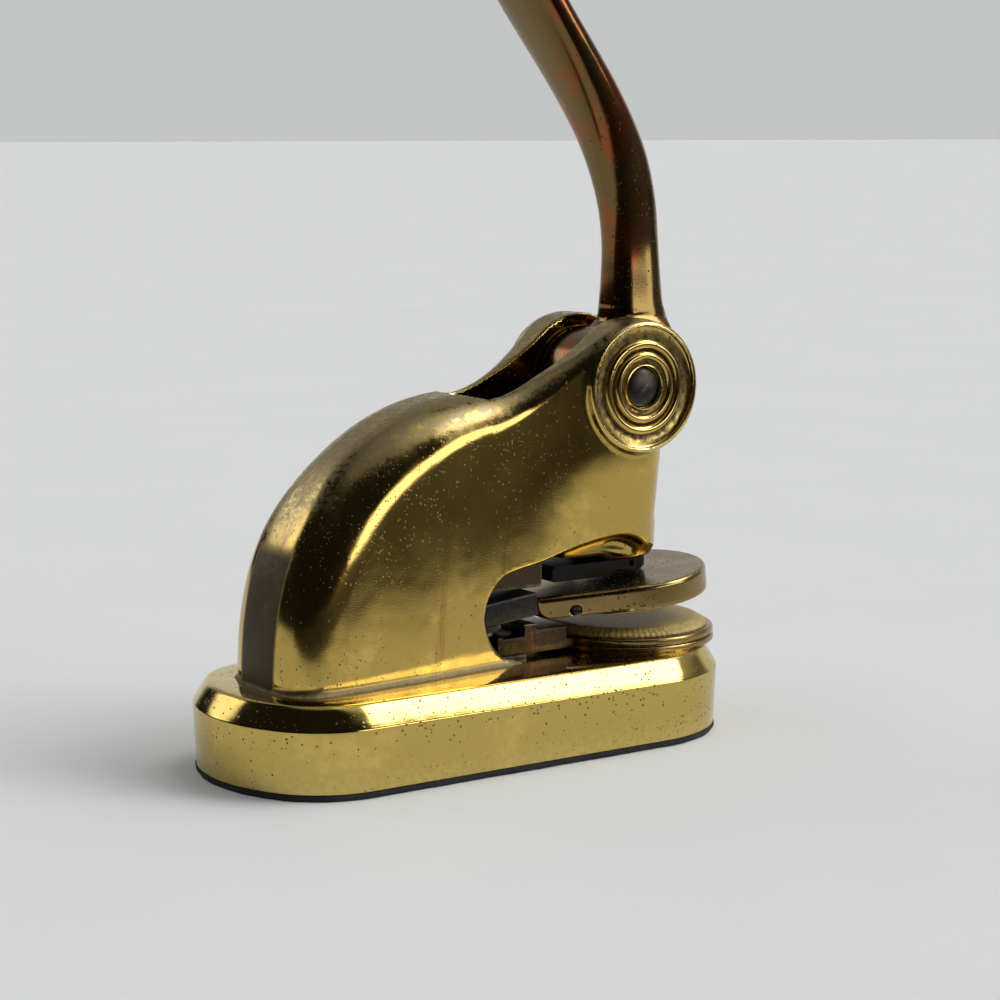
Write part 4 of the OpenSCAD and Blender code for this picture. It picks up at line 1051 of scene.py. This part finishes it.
# %% Lower holder
LOWER_TOP = LEDGE_Z + 4.0
rim = [(0.3, 0), (0, 0.3, 0.2), (0, 1.6, 0.5), (0.8, 1.75, 0.1), (0.8, 2.0, 0.1), (0.1, 2.15, 0.3),
       (0.1, 3.6, 0.5), (0.8, 4.0, 0.3)]
rim = [(LOWER_R - inset, LEDGE_Z + height, *radius) for inset, height, *radius in rim]
lower_section = soft_corners([(0, LEDGE_Z)] + rim + [(0, LOWER_TOP)])
BLOCK_LOW = LEDGE_Z + 1.05
BLOCK_REAR = 5.0
BLOCK_FRONT = DIE_X - 20
LEVEL_TOP = LOWER_TOP - 0.4
STOP_REAR = 13.0
STOP_FRONT = SEAM_X - 0.8
STOP_TOP = TAIL_Z - 0.8
STEP_FRONT = DIE_X - 24.4
tail_block = soft_corners([(BLOCK_REAR, BLOCK_LOW), (BLOCK_REAR, COUNTER_TOP, 0.6), (STOP_REAR, COUNTER_TOP),
                           (STOP_REAR, STOP_TOP, 0.5), (STOP_FRONT, STOP_TOP, 0.5), (STOP_FRONT, HOLDER_Z),
                           (STEP_FRONT, HOLDER_Z, 0.5), (STEP_FRONT, LEVEL_TOP), (BLOCK_FRONT, LEVEL_TOP),
                           (BLOCK_FRONT, BLOCK_LOW)], closed=True)
piece("lower_disc", turned(lower_section, DIE_X, count=160), "frame", holder_brass, ["lower_holder"],
      sharp=40)
piece("lower_tail_block", bar_across(tail_block, TAIL_HALF_W), "frame", shade_dark_tail_brass, sharp=40)

# %% Counter with ribs
RIBS = 90
COUNTER_R = 22.4
RIB_DEPTH = 0.16
rib_a = np.linspace(0, TURN, RIBS * 4, endpoint=False)
counter_rings = []
for inset, height, share in ((0.3, LOWER_TOP, 0.5), (0.2, LOWER_TOP + 0.35, 1), (0.9, LOWER_TOP + 0.95, 1),
                             (1.9, LOWER_TOP + 1.35, 1), (2.4, COUNTER_TOP - 0.25, 1), (2.7, COUNTER_TOP, 0.4),
                             (4, COUNTER_TOP, 0)):
    r = COUNTER_R - inset + share * RIB_DEPTH * np.sin(RIBS * rib_a)
    counter_rings.append(np.column_stack([DIE_X + r * np.cos(rib_a), r * np.sin(rib_a), np.full(len(r), height)]))
piece("ribbed_counter", skin(counter_rings), "frame", counter_board, ["counter"], sharp=70)

# %% [markdown]
# The spring strap is one strip of steel bent back on itself. Its lower leg lies on the ledge, its upper
# leg carries the tail, and only the bend between them works.

# %% Spring strap
STRAP_T = 1.0
STRAP_REAR = 14.0
STRAP_FRONT = 14.0
STRAP_MID = STRAP_T / 2
bend_room = LIFT_COS * (TAIL_Z - LEDGE_Z - STRAP_MID) - LIFT_SIN * (FLEX_X + STRAP_REAR) - STRAP_MID
bend_r = bend_room / (1 + LIFT_COS)
bend_z = LEDGE_Z + STRAP_MID + bend_r
bend_end = LIFT - 0.75 * TURN


def strap_side(out):
    """One face of the strip, from the front of the lower leg round the bend to the bending line."""
    h = out * STRAP_MID
    lower = straight(STRAP_FRONT, -STRAP_REAR, bend_z - bend_r - h, 30)
    bend = arc(-STRAP_REAR, bend_z, bend_r + h, -TURN / 4, bend_end, 40)
    end = np.array([FLEX_X + (STRAP_MID - h) * LIFT_SIN, TAIL_Z - (STRAP_MID - h) * LIFT_COS])
    start = np.array([-STRAP_REAR + (bend_r + h) * math.cos(bend_end), bend_z + (bend_r + h) * math.sin(bend_end)])
    upper = start + np.linspace(0, 1, 24)[:, None] * (end - start)
    return np.concatenate([lower, bend, upper])


strip = np.concatenate([strap_side(1), strap_side(-1)[::-1]])
strap = piece("spring_strip", bar_across(strip, TAIL_HALF_W, 0.12, 3), None, blued_steel, ["strap_spring"])
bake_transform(strap)

# %% [markdown]
# ## Pieces that keep their solids
# Screws, rivets, bushes, washers and the ram are simple turned steel whose solids already have the right
# shape. They only get their finish, and the table says which metal each one is.

# %% Finish of the carried-over solids
FINISH = {zinc: ["base_plate", "base_screws", "lower_holder_screw"],
          inner_brass: ["ear_bush_right", "ear_bush_left", "lever_bush", "ram_guide_bush"],
          turned_brass: ["upper_die"],
          pin_steel: ["thrust_washer_right", "thrust_washer_left", "ram", "ram_button", "foot_pin",
                      "die_screw", "upper_rivets", "lower_rivets"],
          black_oxide: ["ram_foot"],
          blued_steel: ["ram_spring"]}
for finish, nodes in FINISH.items():
    for name in nodes:
        for holder in bpy.data.objects[name].material_slots:
            holder.material = finish
        print(name, "finished in", finish.name)

# %% [markdown]
# ## Camera, floor and light
# The camera stands where the photograph was taken: behind and to the right of the machine, a little above
# it. The floor is one wide pale sheet, and two soft lamps hang overhead.

# %% Camera
cam_data = bpy.data.cameras.new("photo_camera")
cam_data.sensor_width = 36
cam_data.lens = 89.45
cam_data.clip_end = 200
cam = bpy.data.objects.new("photo_camera", cam_data)
cam.location = (-0.3424, -0.5194, 0.1561)
cam.rotation_euler = (math.radians(81.53), 0, math.radians(-34.27))
scene.collection.objects.link(cam)
scene.camera = cam
scene.view_settings.view_transform = "Standard"

# %% Floor: a pale sheet, painted dark beyond a line beside the machine in reflections only
DARK_REFLECTION_EDGE = (-0.235, -0.135)
REFLECTED_FLOOR_DARK = (0.02, 0.018, 0.016)


def paper_white(name, dark, light):
    m, t, shader, place = blank_material(name)
    grain = noise(t, place, 9.0, 8.0, Roughness=0.6)
    paper = blend_colour(t, ramp(t, grain, 0.3, 0.7), dark, light)
    sideways = add(t, "ShaderNodeSeparateXYZ", {0: place}).outputs[1]
    beyond = ramp(t, sideways, *DARK_REFLECTION_EDGE, 1.0, 0.0)
    # painted reflection: glossy rays see the floor dark beyond the line, camera and diffuse rays see it pale
    in_reflection = times(t, add(t, "ShaderNodeLightPath").outputs["Is Glossy Ray"], beyond)
    t.links.new(blend_colour(t, in_reflection, paper, REFLECTED_FLOOR_DARK), shader.inputs["Base Color"])
    shader.inputs["Roughness"].default_value = 0.85
    shader.inputs["Specular IOR Level"].default_value = 0.2
    return m


FLOOR_HALF = 30.0
floor_mesh = bpy.data.meshes.new("floor")
floor_corners = [(x * FLOOR_HALF, y * FLOOR_HALF, 0) for x, y in ((-1, -1), (1, -1), (1, 1), (-1, 1))]
floor_mesh.from_pydata(floor_corners, [], [(0, 1, 2, 3)])
floor = bpy.data.objects.new("floor", floor_mesh)
scene.collection.objects.link(floor)
floor_mesh.materials.append(paper_white("pale_sheet", (0.61, 0.62, 0.618), (0.625, 0.636, 0.632)))

# %% [markdown]
# Polished brass is drawn by what it reflects. The room behind the camera is dark, a window and pale walls
# stand in front and to the right, a lit panel hangs overhead and a small one on the far left. The
# sky is built from these: each one is a soft-edged patch of directions with its own brightness.

# %% Room seen in the reflections
world = bpy.data.worlds.new("studio")
scene.world = world
world.use_nodes = True
sky = world.node_tree
toward = add(sky, "ShaderNodeTexCoord").outputs["Generated"]
toward_x, toward_y, toward_z = add(sky, "ShaderNodeSeparateXYZ", {0: toward}).outputs
heading = math_node(sky, "ARCTAN2", toward_y, toward_x)


def patch(azimuth, elevation, radius, soft, radiance):
    """A round patch of light in one direction."""
    a, e = math.radians(azimuth), math.radians(elevation)
    middle = (math.cos(e) * math.cos(a), math.cos(e) * math.sin(a), math.sin(e))
    near = add(sky, "ShaderNodeVectorMath", {0: toward, 1: middle}, operation="DOT_PRODUCT").outputs["Value"]
    rim, core = (math.cos(math.radians(radius + way * soft)) for way in (1, -1))
    return ramp(sky, near, rim, core, 0.0, radiance)


def wall(az_from, az_to, el_from, el_to, radiance, soft=5):
    """A wall between two headings and two heights."""
    def edge(value, angle, out_low, out_high, measure=float):
        low, high = (measure(math.radians(angle + way * soft)) for way in (-1, 1))
        return ramp(sky, value, low, high, out_low, out_high)

    sides = times(sky, edge(heading, az_from, 0.0, radiance), edge(heading, az_to, 1.0, 0.0))
    heights = times(sky, edge(toward_z, el_from, 0.0, 1.0, math.sin), edge(toward_z, el_to, 1.0, 0.0, math.sin))
    return times(sky, sides, heights)


window = (wall(-50, -37, -7, 30, 3.6, 3), wall(-78, -50, 3, 17, 3.6, 3))
pale_walls = (wall(-37, 8, -6, 20, 0.16), wall(8, 88, -6, 20, 0.7), wall(-45, 108, 22, 62, 0.36))
panels = (patch(-4, 47, 9, 3, 1.6), patch(-33, 42, 14, 2, 7.0), patch(-45, 64, 18, 6, 0.6),
          patch(119, 26, 13, 4, 1.9), patch(0, 90, 20, 9, 0.35))
light_seen = 0.012
for source in (*window, *pale_walls, *panels):
    light_seen = math_node(sky, "ADD", source, light_seen)
# a low warm glow, which gives the dark rear of the body its red line
EMBER = (1.0, 0.27, 0.09)
PALE_WALL = (0.55, 0.56, 0.557)
glow = {0: wall(-84, -50, -5, 1, 0.14), 1: EMBER, 2: light_seen}
room_colour = add(sky, "ShaderNodeVectorMath", glow, operation="MULTIPLY_ADD").outputs[0]
seen_by_camera = add(sky, "ShaderNodeLightPath").outputs["Is Camera Ray"]
background = sky.nodes["Background"]
sky.links.new(blend_colour(sky, seen_by_camera, room_colour, PALE_WALL), background.inputs["Color"])
background.inputs["Strength"].default_value = 1.0


# %% Overhead lamps, which light the sheet and stay out of the reflections
def wide_lamp(name, direction, angle, strength):
    data = bpy.data.lights.new(name, "SUN")
    data.energy = strength
    data.angle = math.radians(angle)
    lamp = bpy.data.objects.new(name, data)
    lamp.rotation_euler = Vector(direction).to_track_quat("Z", "X").to_euler()
    lamp.visible_glossy = False
    scene.collection.objects.link(lamp)


wide_lamp("overhead_front", (0.62, -0.1, 0.8), 50, 1.1)
wide_lamp("overhead_rear", (-0.46, 0.12, 0.85), 40, 0.6)
